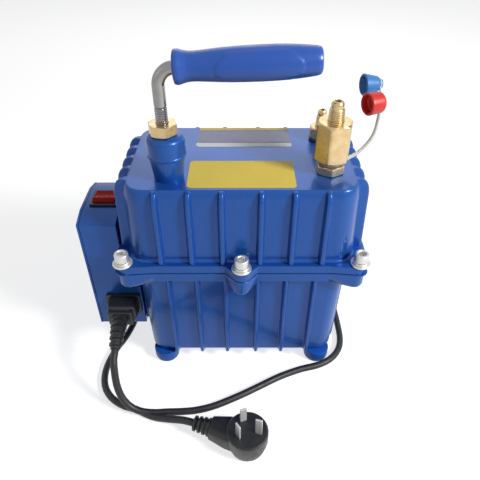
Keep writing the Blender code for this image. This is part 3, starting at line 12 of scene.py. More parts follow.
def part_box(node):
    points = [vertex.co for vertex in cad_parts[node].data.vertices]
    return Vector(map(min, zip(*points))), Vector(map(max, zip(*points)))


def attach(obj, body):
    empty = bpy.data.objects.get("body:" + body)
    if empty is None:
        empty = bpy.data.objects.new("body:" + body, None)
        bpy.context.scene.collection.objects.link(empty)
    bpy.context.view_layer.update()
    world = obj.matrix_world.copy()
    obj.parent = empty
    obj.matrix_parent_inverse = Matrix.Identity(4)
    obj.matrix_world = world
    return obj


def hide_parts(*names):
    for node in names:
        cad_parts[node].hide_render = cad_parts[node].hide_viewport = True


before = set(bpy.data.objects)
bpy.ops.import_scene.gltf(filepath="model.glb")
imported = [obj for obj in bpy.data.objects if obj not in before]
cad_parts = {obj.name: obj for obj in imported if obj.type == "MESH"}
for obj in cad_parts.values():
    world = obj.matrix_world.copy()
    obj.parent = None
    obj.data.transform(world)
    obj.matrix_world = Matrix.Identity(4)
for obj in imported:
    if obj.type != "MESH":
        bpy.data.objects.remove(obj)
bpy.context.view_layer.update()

# Camera: stands in front of the pump, a little above its handle, and looks down at it.
# It is level, so the pump's upright edges lean together towards the floor.
MM = 0.001
shell_low, shell_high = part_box("upper_shell")
middle_x = (shell_low.x + shell_high.x) / 2
camera_back = 390 * MM
camera_height = 429.4 * MM
camera_pitch = math.radians(38.6)
focal_pixels = 481.8
picture_pixels = 480
centre_pixel = 241.5

lens = bpy.data.cameras.new("front_view")
lens.sensor_width = 36
lens.lens = lens.sensor_width * focal_pixels / picture_pixels
lens.shift_x = (picture_pixels / 2 - centre_pixel) / picture_pixels
lens.clip_start = 0.01
camera = bpy.data.objects.new("front_view", lens)
bpy.context.scene.collection.objects.link(camera)
camera.location = (middle_x, -camera_back, camera_height)
camera.rotation_euler = (math.pi / 2 - camera_pitch, 0, 0)
bpy.context.scene.camera = camera
bpy.context.scene.view_settings.view_transform = "Standard"

# Floor: a wide, matt, near white sheet under the pump. Its tone has a faint slow variation,
# as paper has, and it carries the soft shadow. It glows for rays that show it, so it looks white.
floor_size = 12
floor_mesh = bpy.data.meshes.new("floor")
bm = bmesh.new()
bmesh.ops.create_grid(bm, x_segments=1, y_segments=1, size=floor_size / 2)
bm.to_mesh(floor_mesh)
bm.free()
floor = bpy.data.objects.new("floor", floor_mesh)
bpy.context.scene.collection.objects.link(floor)


def new_material(name, metallic=0.0):
    """A plain node material with its tree, its shader and its object coordinates."""
    made = bpy.data.materials.new(name)
    made.use_nodes = True
    tree = made.node_tree
    shader = tree.nodes["Principled BSDF"]
    shader.inputs["Metallic"].default_value = metallic
    place = tree.nodes.new("ShaderNodeTexCoord")
    return made, tree, shader, place.outputs["Object"]


def noise(tree, place, scale, detail=2.0, roughness=0.5):
    """A fine cloudy pattern from 0 to 1."""
    node = tree.nodes.new("ShaderNodeTexNoise")
    node.inputs["Scale"].default_value = scale
    node.inputs["Detail"].default_value = detail
    node.inputs["Roughness"].default_value = roughness
    tree.links.new(place, node.inputs["Vector"])
    return node.outputs["Fac"]


def spread(tree, value, low, high, start=0.3, end=0.7):
    """Bring a pattern's middle range to the range low to high."""
    node = tree.nodes.new("ShaderNodeMapRange")
    node.inputs["From Min"].default_value = start
    node.inputs["From Max"].default_value = end
    node.inputs["To Min"].default_value = low
    node.inputs["To Max"].default_value = high
    tree.links.new(value, node.inputs["Value"])
    return node.outputs["Result"]


def two_tones(tree, shader, value, first, second):
    """Colour a material between two close tones, by a pattern."""
    node = tree.nodes.new("ShaderNodeMix")
    node.data_type = "RGBA"
    node.inputs["A"].default_value = (*first, 1)
    node.inputs["B"].default_value = (*second, 1)
    tree.links.new(value, node.inputs["Factor"])
    tree.links.new(node.outputs["Result"], shader.inputs["Base Color"])


def shown(tree, hidden, visible):
    """One value for rays that light things, another for rays that show this as a background."""
    rays = tree.nodes.new("ShaderNodeLightPath")
    seen = rays.outputs["Is Camera Ray"]
    for kind in ("Is Glossy Ray", "Is Transmission Ray"):
        either = tree.nodes.new("ShaderNodeMath")
        either.operation = "MAXIMUM"
        tree.links.new(seen, either.inputs[0])
        tree.links.new(rays.outputs[kind], either.inputs[1])
        seen = either.outputs["Value"]
    return spread(tree, seen, hidden, visible, 0, 1)


paper, tree, shader, place = new_material("floor_paper")
two_tones(tree, shader, noise(tree, place, 3), (0.62, 0.62, 0.625), (0.66, 0.66, 0.66))
shader.inputs["Roughness"].default_value = 0.9
shader.inputs["Specular IOR Level"].default_value = 0.1
floor_glow = 0.72
tree.links.new(shown(tree, 0, floor_glow), shader.inputs["Emission Strength"])
shader.inputs["Emission Color"].default_value = (1, 1, 1, 1)
floor_mesh.materials.append(paper)

# Light: a dim pale room, a soft lamp high on the right, a long weak one behind that the top plate
# mirrors, and a weaker one on the left.
world = bpy.data.worlds.new("pale_room")
world.use_nodes = True
background = world.node_tree.nodes["Background"]
background.inputs["Color"].default_value = (0.93, 0.95, 1.0, 1)
room_light, room_seen = 0.15, 0.95
world.node_tree.links.new(shown(world.node_tree, room_light, room_seen), background.inputs["Strength"])
bpy.context.scene.world = world


def soft_lamp(name, place, target, width, height, power):
    """A rectangular area lamp that looks at its target; power in watts."""
    lamp = bpy.data.lights.new(name, "AREA")
    lamp.shape = "RECTANGLE"
    lamp.size = width
    lamp.size_y = height
    lamp.energy = power
    holder = bpy.data.objects.new(name, lamp)
    bpy.context.scene.collection.objects.link(holder)
    holder.location = place
    holder.rotation_euler = (Vector(target) - Vector(place)).to_track_quat("-Z", "Y").to_euler()


pump_centre = (middle_x, 0, 0.13)
soft_lamp("lamp_right", (1.0, -0.62, 0.95), pump_centre, 0.28, 0.28, 17)
soft_lamp("lamp_back", (0.03, 1.25, 0.93), pump_centre, 1.0, 0.55, 2.6)
soft_lamp("lamp_left", (-1.1, -0.5, 0.8), pump_centre, 0.6, 0.6, 0.3)


# Cord: round three-core lead in black rubber, 7 mm thick, run from the connector down to the floor,
# along the front, round the back and into the plug.
def smooth_path(points, spacing):
    """Evenly spaced points along a Catmull-Rom curve through the given ones."""
    ends = [points[0] * 2 - points[1]] + list(points) + [points[-1] * 2 - points[-2]]
    dense = []
    for k in range(1, len(ends) - 2):
        a, b, c, d = ends[k - 1:k + 3]
        for i in range(24):
            t = i / 24
            dense.append(0.5 * ((b * 2) + (c - a) * t + (a * 2 - b * 5 + c * 4 - d) * t * t
                                + (b * 3 - a - c * 3 + d) * t * t * t))
    dense.append(points[-1])
    total = sum((q - p).length for p, q in zip(dense, dense[1:]))
    count = max(2, round(total / spacing))
    picked = [dense[0]]
    walked = 0.0
    for p, q in zip(dense, dense[1:]):
        step = (q - p).length
        while len(picked) < count and walked + step >= total * len(picked) / count:
            share = (total * len(picked) / count - walked) / step
            picked.append(p.lerp(q, share))
        walked += step
    picked.append(dense[-1])
    return picked


def place_object(name, data, body, material):
    """Put a finished mesh or curve in the scene, in its material and on its body."""
    made = bpy.data.objects.new(name, data)
    bpy.context.scene.collection.objects.link(made)
    data.materials.append(material)
    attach(made, body)
    return made


def vary_gloss(tree, shader, value, low, high):
    """Let a pattern vary the roughness between two values."""
    tree.links.new(spread(tree, value, low, high), shader.inputs["Roughness"])


def relief(tree, value, depth, shader):
    """Small real relief in the surface, depth in metres."""
    node = tree.nodes.new("ShaderNodeBump")
    node.inputs["Strength"].default_value = 1.0
    node.inputs["Distance"].default_value = depth
    tree.links.new(value, node.inputs["Height"])
    tree.links.new(node.outputs["Normal"], shader.inputs["Normal"])


gap = 0.3 * MM
cord_radius = 3.5 * MM
cord_floor = cord_radius + gap
connector_exit = Vector((-122, -92.7, 57)) * MM
connector_way = Vector((0, -36, -15)).normalized()
plug_middle = Vector((5.4, -158.8, 0)) * MM
plug_turn = math.radians(-16.6)
plug_reach = 52 * MM
plug_cord_height = 13.5 * MM
plug_way = Matrix.Rotation(plug_turn, 3, "Z") @ Vector((-1, 0, 0))
plug_exit = plug_middle + Vector((0, 0, plug_cord_height)) + plug_way * plug_reach
straight = 4 * MM

route = [connector_exit + connector_way * straight, connector_exit + connector_way * 10 * MM]
for x, y, z in ((-121.5, -108, 45), (-119, -117, 31), (-113, -123.5, 18), (-102.5, -127, 8.5),
                (-88, -127.5, 4.3)):
    route.append(Vector((x, y, z)) * MM)
for x, y in ((-72, -126.5), (-57, -126), (-43, -124.4), (-26, -119.5), (-2, -108.3),
             (18, -97.5), (40, -85.5), (62, -76.5), (82, -70.8), (97, -62), (107, -49), (111, -34),
             (111.5, -16), (111, 4), (110, 28), (107.5, 52), (100, 76), (84, 94), (60, 105), (25, 110.5),
             (0, 111.5), (-21, 117), (-37, 130), (-42, 148), (-36, 166), (-20, 178), (0, 181),
             (20, 175), (34, 161)):
    route.append(Vector((x * MM, y * MM, cord_floor)))
for x, y, rise in ((40, 143, 0.6), (38, 128, 4.2), (31, 116.5, 7.4), (20, 108, 7.9), (6, 102, 6.2),
                   (-10, 98.5, 2.6)):
    route.append(Vector((x * MM, y * MM, cord_floor + rise * MM)))
for x, y in ((-30, 97.5), (-55, 96.5), (-78, 92), (-99, 82), (-115, 64), (-122, 40), (-124, 12),
             (-125.5, -12), (-131, -33), (-138, -50), (-142.5, -68), (-143, -84),
             (-139, -99), (-130, -111), (-117, -119.5), (-104, -123.5)):
    route.append(Vector((x * MM, y * MM, cord_floor)))
for reach, height in ((44, 0.2), (27, 3.7), (12, 8.9)):
    route.append(Vector((plug_exit.x, plug_exit.y, cord_floor))
                 + (plug_way * reach + Vector((0, 0, height))) * MM)
route.append(plug_exit + plug_way * straight)
middle = Vector((middle_x, 0, 0))
line = [connector_exit + connector_way * gap] + smooth_path(route, 6 * MM) + [plug_exit + plug_way * gap]
line = [point + middle for point in line]

cord_curve = bpy.data.curves.new("power_lead", "CURVE")
cord_curve.dimensions = "3D"
cord_curve.bevel_depth = cord_radius
cord_curve.bevel_resolution = 6
cord_curve.use_fill_caps = True
spline = cord_curve.splines.new("POLY")
spline.points.add(len(line) - 1)
for knot, point in zip(spline.points, line):
    knot.co = (*point, 1)

cord_rubber, tree, shader, place = new_material("cord_rubber")
dust = noise(tree, place, 60, 4, 0.6)
two_tones(tree, shader, dust, (0.009, 0.009, 0.010), (0.017, 0.017, 0.018))
vary_gloss(tree, shader, noise(tree, place, 180, 3), 0.38, 0.55)
relief(tree, noise(tree, place, 1400, 2), 0.00003, shader)
power_lead = place_object("power_lead", cord_curve, "housing", cord_rubber)
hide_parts("power_cord")


# Lower shell: a sand-cast aluminium tub with leaning walls and upright cooling ribs, whose rim is
# the lower half of the bolted flange. Metallic blue paint covers it.
crisp_fold = math.radians(38)


def finish_piece(name, bm, material, body, slot, *nodes):
    """Close a shape off as a piece at its place round the pump's middle, its folds crisp."""
    bmesh.ops.recalc_face_normals(bm, faces=bm.faces)
    bmesh.ops.translate(bm, verts=bm.verts, vec=middle)
    for face in bm.faces:
        face.smooth = True
    for edge in bm.edges:
        edge.smooth = len(edge.link_faces) == 2 and edge.calc_face_angle() < crisp_fold
    mesh = bpy.data.meshes.new(name)
    bm.to_mesh(mesh)
    bm.free()
    made = place_object(name, mesh, body, material)
    weights = made.modifiers.new("face_weights", "WEIGHTED_NORMAL")
    weights.keep_sharp = True
    if nodes:
        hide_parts(*nodes)
    return made


def join(bm, *others):
    """Put other shapes into the first one."""
    for other in others:
        mesh = bpy.data.meshes.new("joined")
        other.to_mesh(mesh)
        other.free()
        bm.from_mesh(mesh)
        bpy.data.meshes.remove(mesh)
    return bm


def soften(bm, width, segments=3, least=40, chosen=None):
    """Round every edge that folds by more than the least angle, in degrees."""
    edges = [edge for edge in bm.edges if len(edge.link_faces) == 2
             and edge.calc_face_angle() > math.radians(least) and (chosen is None or chosen(edge))]
    bmesh.ops.bevel(bm, geom=edges, offset=width, affect="EDGES", segments=segments, profile=0.5,
                    material=-1, clamp_overlap=True)
    return bm


def block(low, high):
    """A plain box between two corners."""
    low, high = Vector(low), Vector(high)
    bm = bmesh.new()
    size = Matrix.Diagonal((*(high - low), 1))
    bmesh.ops.create_cube(bm, size=1, matrix=Matrix.Translation((low + high) / 2) @ size)
    return bm


def round_block(half_x, half_y, low, high, corner, steps=10):
    """A box whose upright edges are rounded."""
    bm = block((-half_x, -half_y, low), (half_x, half_y, high))
    upright = [edge for edge in bm.edges if abs(edge.verts[0].co.z - edge.verts[1].co.z) > (high - low) / 2]
    bmesh.ops.bevel(bm, geom=upright, offset=corner, affect="EDGES", segments=steps, profile=0.5, material=-1)
    return bm


def lean(bm, z, share_x, share_y):
    """Draw the points at one height in towards the middle."""
    level = [vert for vert in bm.verts if abs(vert.co.z - z) < 0.01 * MM]
    bmesh.ops.scale(bm, verts=level, vec=(share_x, share_y, 1))


def climb(bm, steps):
    """Grow the top face in steps, each so far in and so far up."""
    top = max(bm.faces, key=lambda face: face.calc_center_median().z)
    for inward, upward in steps:
        bmesh.ops.inset_region(bm, faces=[top], thickness=inward, depth=upward, use_even_offset=True)
    return bm


def root_fillet(half_x, half_y, corner, z, up):
    """The cast fillet between a wall and a face at height z, rising or, with up -1, hanging."""
    swell = 2.0 * MM
    bm = round_block(half_x + swell, half_y + swell, -0.6 * MM, 0.02 * MM, corner + swell)
    climb(bm, [(inward * MM, upward * MM) for inward, upward in ((0.85, 0.2), (0.55, 0.4), (0.35, 0.6),
                                                                 (0.25, 0.9), (0.2, 1.4))])
    if up < 0:
        bmesh.ops.scale(bm, verts=bm.verts, vec=(1, 1, -1))
    bmesh.ops.translate(bm, verts=bm.verts, vec=(0, 0, z))
    return bm


def rib(levels, side, along):
    """A cast rib with a filleted root that grows up or down a wall.

    levels are (height, wall distance, rib depth, width); side is the wall, as a turn about Z from
    the back wall; along is the rib's place on its wall.
    """
    section = ((-0.85, -0.1), (-0.62, 0.03), (-0.51, 0.2), (-0.44, 0.7), (-0.32, 0.92), (-0.12, 1),
               (0.12, 1), (0.32, 0.92), (0.44, 0.7), (0.51, 0.2), (0.62, 0.03), (0.85, -0.1))
    bm = bmesh.new()
    height, wall_at, depth, width = levels[0]
    face = bm.faces.new([bm.verts.new((across * width, wall_at + out * depth, height))
                         for across, out in section])
    for next_height, next_wall, next_depth, next_width in levels[1:]:
        grown = bmesh.ops.extrude_face_region(bm, geom=[face])["geom"]
        ring = [item for item in grown if isinstance(item, bmesh.types.BMVert)]
        face = next(item for item in grown if isinstance(item, bmesh.types.BMFace))
        bmesh.ops.scale(bm, verts=ring, vec=(next_width / width, next_depth / depth, 1),
                        space=Matrix.Translation((0, -wall_at, 0)))
        bmesh.ops.translate(bm, verts=ring, vec=(0, next_wall - wall_at, next_height - height))
        height, wall_at, depth, width = next_height, next_wall, next_depth, next_width
    bmesh.ops.translate(bm, verts=bm.verts, vec=(along, 0, 0))
    bmesh.ops.rotate(bm, verts=bm.verts, matrix=Matrix.Rotation(side, 3, "Z"))
    return bm


foot_height = 14 * MM
body_bottom = foot_height + gap
lower_top = body_bottom + 119.6 * MM
lower_half_x = 98.5 * MM
lower_half_y = 62.3 * MM
lower_draft = 3.3 * MM
lower_corner = 16 * MM
lower_edge = 5 * MM
flange_half_x = 115 * MM
flange_half_y = 69.5 * MM
flange_corner = 20 * MM
flange_lower = 9.2 * MM
flange_edge = 1.1 * MM
seam = 0.27 * MM
bolt_corner = Vector((106.6, 65.3)) * MM
bolt_middle_y = 72.8 * MM
bolt_places = {"front_left": (-bolt_corner.x, -bolt_corner.y), "front_middle": (0, -bolt_middle_y),
               "front_right": (bolt_corner.x, -bolt_corner.y), "back_left": (-bolt_corner.x, bolt_corner.y),
               "back_middle": (0, bolt_middle_y), "back_right": (bolt_corner.x, bolt_corner.y)}
lug_radius = 8.7 * MM
lug_drop = 16 * MM
lug_inward_x, lug_inward_y = 3 * MM, 2.1 * MM
rib_width = 5.6 * MM
lower_rib_depth, lower_end_rib_depth = 5.4 * MM, 3.6 * MM
lower_rib_first, lower_rib_step = 14.9 * MM, 26.6 * MM
end_rib_step = 19 * MM
pad_inner, pad_outer, pad_half_y = 94 * MM, 102.3 * MM, 34 * MM
pad_low, pad_high = 38 * MM, 117.5 * MM
front, back, right, left = math.pi, 0, -math.pi / 2, math.pi / 2

blue_paint, tree, shader, place = new_material("blue_metallic_paint", metallic=0.3)
flake = noise(tree, place, 2600, 1)
cloud = noise(tree, place, 9, 2)
two_tones(tree, shader, spread(tree, flake, 0, 1), (0.008, 0.075, 0.33), (0.014, 0.110, 0.44))
shader.inputs["Specular IOR Level"].default_value = 0.2
vary_gloss(tree, shader, cloud, 0.30, 0.40)
shader.inputs["Coat Weight"].default_value = 0.32
shader.inputs["Coat Roughness"].default_value = 0.09
relief(tree, noise(tree, place, 420, 3), 0.00006, shader)


def lug_place(x, y):
    """Where a bolt's lug stands: at a corner it is a little nearer the middle than the bolt."""
    if x == 0:
        return x, y
    return x - math.copysign(lug_inward_x, x), y - math.copysign(lug_inward_y, y)


def web(x, y, levels):
    """The cast web from a round bolt lug to the flange edges beside it.

    levels are (height, how far its outline is drawn in, height of its far end).
    """
    bm = bmesh.new()
    at_corner = abs(x) > MM
    for height, drawn_in, far_height in levels:
        radius = lug_radius - drawn_in
        for i in range(32):
            angle = math.tau * i / 32
            bm.verts.new((x + radius * math.cos(angle), y + radius * math.sin(angle), height))
        far = []
        for inner in (0.2 * MM, 9 * MM):
            edge_y = flange_half_y - drawn_in - inner
            if at_corner:
                far.append((abs(x) - 26 * MM, edge_y))
                far.append((flange_half_x - drawn_in - inner, abs(y) - 20 * MM))
            else:
                far += [(-15 * MM, edge_y), (15 * MM, edge_y)]
        for far_x, far_y in far:
            if at_corner:
                far_x = math.copysign(far_x, x)
            bm.verts.new((far_x, math.copysign(far_y, y), far_height))
    wrapped = bmesh.ops.convex_hull(bm, input=bm.verts)
    loose = {item for item in wrapped["geom_interior"] if isinstance(item, bmesh.types.BMVert)}
    bmesh.ops.delete(bm, geom=list(loose), context="VERTS")
    return bm


def lower_wall(half, z):
    """How far a lower wall stands from the middle at a height."""
    return half - lower_draft * (lower_top - z) / (lower_top - body_bottom)


bm = round_block(lower_half_x, lower_half_y, body_bottom, lower_top - MM, lower_corner)
lean(bm, body_bottom, 1 - lower_draft / lower_half_x, 1 - lower_draft / lower_half_y)
soften(bm, lower_edge, 5, chosen=lambda edge: all(vert.co.z < body_bottom + MM for vert in edge.verts))
flange = round_block(flange_half_x, flange_half_y, lower_top - flange_lower, lower_top + seam, flange_corner)
soften(flange, flange_edge, 3, 60, lambda edge: all(vert.co.z < lower_top - MM for vert in edge.verts))
join(bm, soften(flange, seam, 2, 60))
join(bm, root_fillet(lower_half_x, lower_half_y, lower_corner, lower_top - flange_lower, -1))
lug_foot = lower_top - lug_drop
hidden = lower_top - flange_lower + 0.5 * MM
lug_levels = ((lug_foot, 3.5 * MM, hidden), (lug_foot + 0.9 * MM, 1.2 * MM, hidden),
              (lug_foot + 3.2 * MM, 0, hidden), (lower_top, 0, lower_top),
              (lower_top + 0.9 * seam, seam, lower_top + 0.9 * seam))
for x, y in bolt_places.values():
    join(bm, web(*lug_place(x, y), lug_levels))
rib_foot = [(lower_top - 5 * MM, 1), (body_bottom + 9 * MM, 1), (body_bottom + 4 * MM, 0.92),
            (body_bottom + 1.5 * MM, 0.72), (body_bottom - 0.3 * MM, 0.35)]
for hand in (-1, 1):
    for i in range(3):
        levels = [(z, lower_wall(lower_half_y, z) - (1 - share) * 1.5 * MM, lower_rib_depth * share,
                   rib_width * (0.1 + 0.72 * share)) for z, share in rib_foot]
        for side in (front, back):
            join(bm, rib(levels, side, hand * (lower_rib_first + lower_rib_step * i)))
for i in range(-2, 3):
    levels = [(z, lower_wall(lower_half_x, z) - (1 - share) * 2 * MM, lower_end_rib_depth * share, rib_width)
              for z, share in rib_foot]
    join(bm, rib(levels, right, i * end_rib_step))
box_pad = block((-pad_outer, -pad_half_y, pad_low), (-pad_inner, pad_half_y, pad_high))
join(bm, soften(box_pad, 1.5 * MM))
finish_piece("lower_casting", bm, blue_paint, "housing", "blue_paint", "lower_shell")


# Flange gasket: a thin sheet clamped between the two shells. Its edge was painted over with them, so
# it takes their paint.
def paint_nodes(material, *names):
    """Give CAD nodes that keep their shape their finish."""
    for name in names:
        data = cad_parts[name].data
        data.materials.clear()
        data.materials.append(material)


paint_nodes(blue_paint, "flange_gasket")

# Upper shell: the second casting. Its walls turn over a soft shoulder into the flat top, ribs stand
# on all four walls, and the boss for the handle is cast on. Same paint.
gasket_top = lower_top + 1.3 * MM
upper_bottom = gasket_top + gap
flange_top = upper_bottom + 7.5 * MM
top_z = upper_bottom + 80.5 * MM
upper_half_x = 103 * MM
upper_half_y = 62.3 * MM
upper_draft_x = 2.6 * MM
upper_draft_y = 1.2 * MM
upper_corner = 20 * MM
rim_inset = 4.2 * MM
rim_drop = 15 * MM
upper_rib_depth, upper_end_rib_depth = 5.6 * MM, 9.6 * MM
upper_rib_first, upper_rib_step = 16.6 * MM, 27.7 * MM
handle_x, handle_y = -62.5 * MM, -36 * MM
socket_top = top_z + 39.8 * MM


def upper_wall(half, draft, z):
    """How far an upper wall stands from the middle at a height, on the shoulder too."""
    distance = half - draft * (z - upper_bottom) / (top_z - upper_bottom)
    if z > top_z - rim_drop:
        rise = min(1.0, (z - top_z + rim_drop) / rim_drop)
        distance -= rim_inset * (1 - math.sqrt(1 - rise * rise))
    return distance


def lathe(profile, sides=40, centre=(0, 0)):
    """A closed turned shape about an upright axis; profile is (radius, height), from foot to top."""
    bm = bmesh.new()
    verts = [bm.verts.new((radius, 0, height)) for radius, height in profile]
    edges = [bm.edges.new(pair) for pair in zip(verts, verts[1:])]
    bmesh.ops.spin(bm, geom=verts + edges, cent=(0, 0, 0), axis=(0, 0, 1), angle=math.tau, steps=sides,
                   use_merge=True)
    bmesh.ops.remove_doubles(bm, verts=bm.verts, dist=0.001 * MM)
    bmesh.ops.recalc_face_normals(bm, faces=bm.faces)
    bmesh.ops.translate(bm, verts=bm.verts, vec=(*centre, 0))
    return bm


shoulder = top_z - rim_drop
bm = round_block(upper_half_x, upper_half_y, upper_bottom, shoulder, upper_corner)
lean(bm, shoulder, upper_wall(upper_half_x, upper_draft_x, shoulder) / upper_half_x,
     upper_wall(upper_half_y, upper_draft_y, shoulder) / upper_half_y)
angles = [math.pi / 2 * i / 9 for i in range(10)]
climb(bm, [(rim_inset * (math.cos(a) - math.cos(b)), rim_drop * (math.sin(b) - math.sin(a)))
           for a, b in zip(angles, angles[1:])])
seam_bottom = upper_bottom - seam
flange = round_block(flange_half_x, flange_half_y, seam_bottom, flange_top, flange_corner)
soften(flange, flange_edge, 3, 60, lambda edge: all(vert.co.z > upper_bottom + MM for vert in edge.verts))
join(bm, soften(flange, seam, 2, 60))
join(bm, root_fillet(upper_half_x, upper_half_y, upper_corner, flange_top, 1))
lug_levels = [(height, drawn_in, height) for height, drawn_in in (
    (seam_bottom + 0.1 * seam, seam), (upper_bottom, 0), (flange_top - MM, 0),
    (flange_top - 0.3 * MM, 0.3 * MM), (flange_top - 0.02 * MM, MM))]
for x, y in bolt_places.values():
    join(bm, web(*lug_place(x, y), lug_levels))
rib_head = [(upper_bottom + 5 * MM, 1), (top_z - 22 * MM, 1), (top_z - 14 * MM, 1), (top_z - 9 * MM, 0.97),
            (top_z - 5.5 * MM, 0.9), (top_z - 3 * MM, 0.8), (top_z - 1.4 * MM, 0.66),
            (top_z - 0.5 * MM, 0.45)]
for hand in (-1, 1):
    for i in range(3):
        levels = [(z, upper_wall(upper_half_y, upper_draft_y, z), upper_rib_depth * share,
                   rib_width * (0.35 + 0.65 * share)) for z, share in rib_head]
        for side in (front, back):
            join(bm, rib(levels, side, hand * (upper_rib_first + upper_rib_step * i)))
for i in range(-2, 3):
    levels = [(z, upper_wall(upper_half_x, upper_draft_x, z), upper_end_rib_depth * share, rib_width)
              for z, share in rib_head]
    for side in (left, right):
        join(bm, rib(levels, side, i * end_rib_step))
boss = [(0, -2), (12.4, -2), (12.5, 1.5), (12.7, 3), (14.8, 20.6), (15.3, 21.1), (16.2, 21.5),
        (16.5, 22.2), (16.3, 22.9), (15.9, 23.4), (15.9, 34.2), (15.6, 36.0), (14.8, 37.5), (13.4, 38.7),
        (11.6, 39.6), (0, 39.8)]
join(bm, lathe([(radius * MM, top_z + height * MM) for radius, height in boss], 56,
               (handle_x + MM, handle_y)))
finish_piece("upper_casting", bm, blue_paint, "housing", "blue_paint", "upper_shell")

# Flange bolts: M8 socket head cap screws of zinc plated steel. Six of them clamp the two shells
# together, each on a spring washer and a flat washer.
bolt_radius = 4 * MM
head_radius = 6.4 * MM
head_height = 8 * MM
hex_radius = 3.4 * MM
hex_depth = 4.5 * MM
washer_foot = flange_top + gap
washer_top = washer_foot + 3.6 * MM
head_foot = washer_top + gap
head_top = head_foot + head_height
flat_radius, split_radius = 9 * MM, 7 * MM
flat_top = washer_foot + 1.6 * MM
edge = 0.25 * MM

zinc, tree, shader, place = new_material("zinc_plate", metallic=0.75)
bloom = noise(tree, place, 320, 4, 0.6)
two_tones(tree, shader, bloom, (0.62, 0.62, 0.58), (0.80, 0.80, 0.76))
vary_gloss(tree, shader, bloom, 0.34, 0.5)
relief(tree, noise(tree, place, 1500, 2), 0.00004, shader)


def hex_reach(angle, across):
    """Distance from a hexagon's middle to its side at an angle; its corners point to the front and back."""
    return across / 2 / math.cos((angle + math.pi / 6) % (math.pi / 3) - math.pi / 6)


for name, (x, y) in bolt_places.items():
    bm = lathe(((0, lower_top - 8 * MM), (bolt_radius, lower_top - 8 * MM), (bolt_radius, head_foot),
                (head_radius - 0.3 * MM, head_foot), (head_radius, head_foot + 0.3 * MM),
                (head_radius, head_top - 1.1 * MM), (head_radius - 0.3 * MM, head_top - 0.4 * MM),
                (head_radius - 1.0 * MM, head_top), (hex_radius * 1.18, head_top),
                (hex_radius * 1.08, head_top - 0.4 * MM), (hex_radius, head_top - 0.7 * MM),
                (hex_radius, head_top - hex_depth), (0, head_top - hex_depth - MM)), 48)
    for vert in bm.verts:
        flat = vert.co.xy.length
        if 2 * MM < flat < hex_radius * 1.01 and vert.co.z > head_foot:
            angle = math.atan2(vert.co.y, vert.co.x)
            vert.co.xy *= hex_reach(angle, 1.8 * hex_radius) / flat
    bmesh.ops.translate(bm, verts=bm.verts, vec=(x, y, 0))
    finish_piece("cap_screw_" + name, bm, zinc, "housing", "zinc", "flange_bolt_" + name)
    bm = lathe(((bolt_radius + gap, washer_foot), (flat_radius - edge, washer_foot),
                (flat_radius, washer_foot + edge), (flat_radius, flat_top - edge),
                (flat_radius - edge, flat_top), (split_radius - edge, flat_top),
                (split_radius, flat_top + edge), (split_radius, washer_top - edge),
                (split_radius - edge, washer_top), (bolt_radius + gap, washer_top),
                (bolt_radius + gap, washer_foot)), 40, (x, y))
    finish_piece("washers_" + name, bm, zinc, "housing", "zinc", "flange_washer_" + name)

# Feet: four round buttons of blue rubber, moulded with a soft rim, under the corners of the lower
# shell.
blue_rubber, tree, shader, place = new_material("blue_rubber")
grain = noise(tree, place, 700, 3)
two_tones(tree, shader, noise(tree, place, 30, 3), (0.008, 0.090, 0.42), (0.012, 0.112, 0.50))
shader.inputs["Specular IOR Level"].default_value = 0.3
vary_gloss(tree, shader, grain, 0.36, 0.46)
relief(tree, grain, 0.00004, shader)
foot_x, foot_y = 81 * MM, 52 * MM
foot_profile = ((0, 0.6), (8.5, 0.6), (9, 0), (10.4, 0.1), (11.7, 0.7), (12.5, 2.0), (12.9, 4.2), (13, 8),
                (13, 13.4), (12.7, 13.9), (12, 14), (0, 14))
for name, x, y in (("front_left", -foot_x, -foot_y), ("front_right", foot_x, -foot_y),
                   ("back_left", -foot_x, foot_y), ("back_right", foot_x, foot_y)):
    bm = lathe([(radius * MM, height * MM) for radius, height in foot_profile], 40, (x, y))
    finish_piece("rubber_" + name, bm, blue_rubber, "housing", "blue_rubber", "foot_" + name)

# Stickers: thin plastic film with rounded corners, stuck on the flat top. One is plain yellow, the
# other a plain grey plate with a white band and a yellow band.
film = 0.25 * MM


def shade(colour, factor):
    """A colour made darker or lighter."""
    return tuple(min(1.0, part * factor) for part in colour)


def sticker(name, low, high, corner, colour, roughness):
    """A thin plain film with rounded corners on the housing's top, its sizes in millimetres."""
    low, high = Vector(low) * MM, Vector(high) * MM
    size = (high - low) / 2
    bm = round_block(size.x, size.y, top_z + 0.02 * MM, top_z + film, corner, 6)
    bmesh.ops.translate(bm, verts=bm.verts, vec=(*((low + high) / 2), 0))
    ink, tree, shader, place = new_material(name + "_film")
    two_tones(tree, shader, noise(tree, place, 45, 4), shade(colour, 0.94), shade(colour, 1.04))
    vary_gloss(tree, shader, noise(tree, place, 240, 3), roughness, roughness + 0.12)
    relief(tree, noise(tree, place, 130, 3), 0.00004, shader)
    finish_piece(name, bm, ink, "housing", "clear_plastic")


sticker("yellow_sticker", (-45.6, -54.5), (45.6, -9.8), 4 * MM, (0.80, 0.60, 0.06), 0.5)
sticker("plate_field", (-42, 25.2), (46.4, 51.2), 1 * MM, (0.15, 0.16, 0.29), 0.3)
sticker("plate_white_band", (-42.8, 17), (47.2, 26), 3.4 * MM, (0.72, 0.75, 0.78), 0.4)
sticker("plate_yellow_band", (-41.4, 50.8), (45.8, 56.6), 0.8 * MM, (0.62, 0.47, 0.10), 0.4)


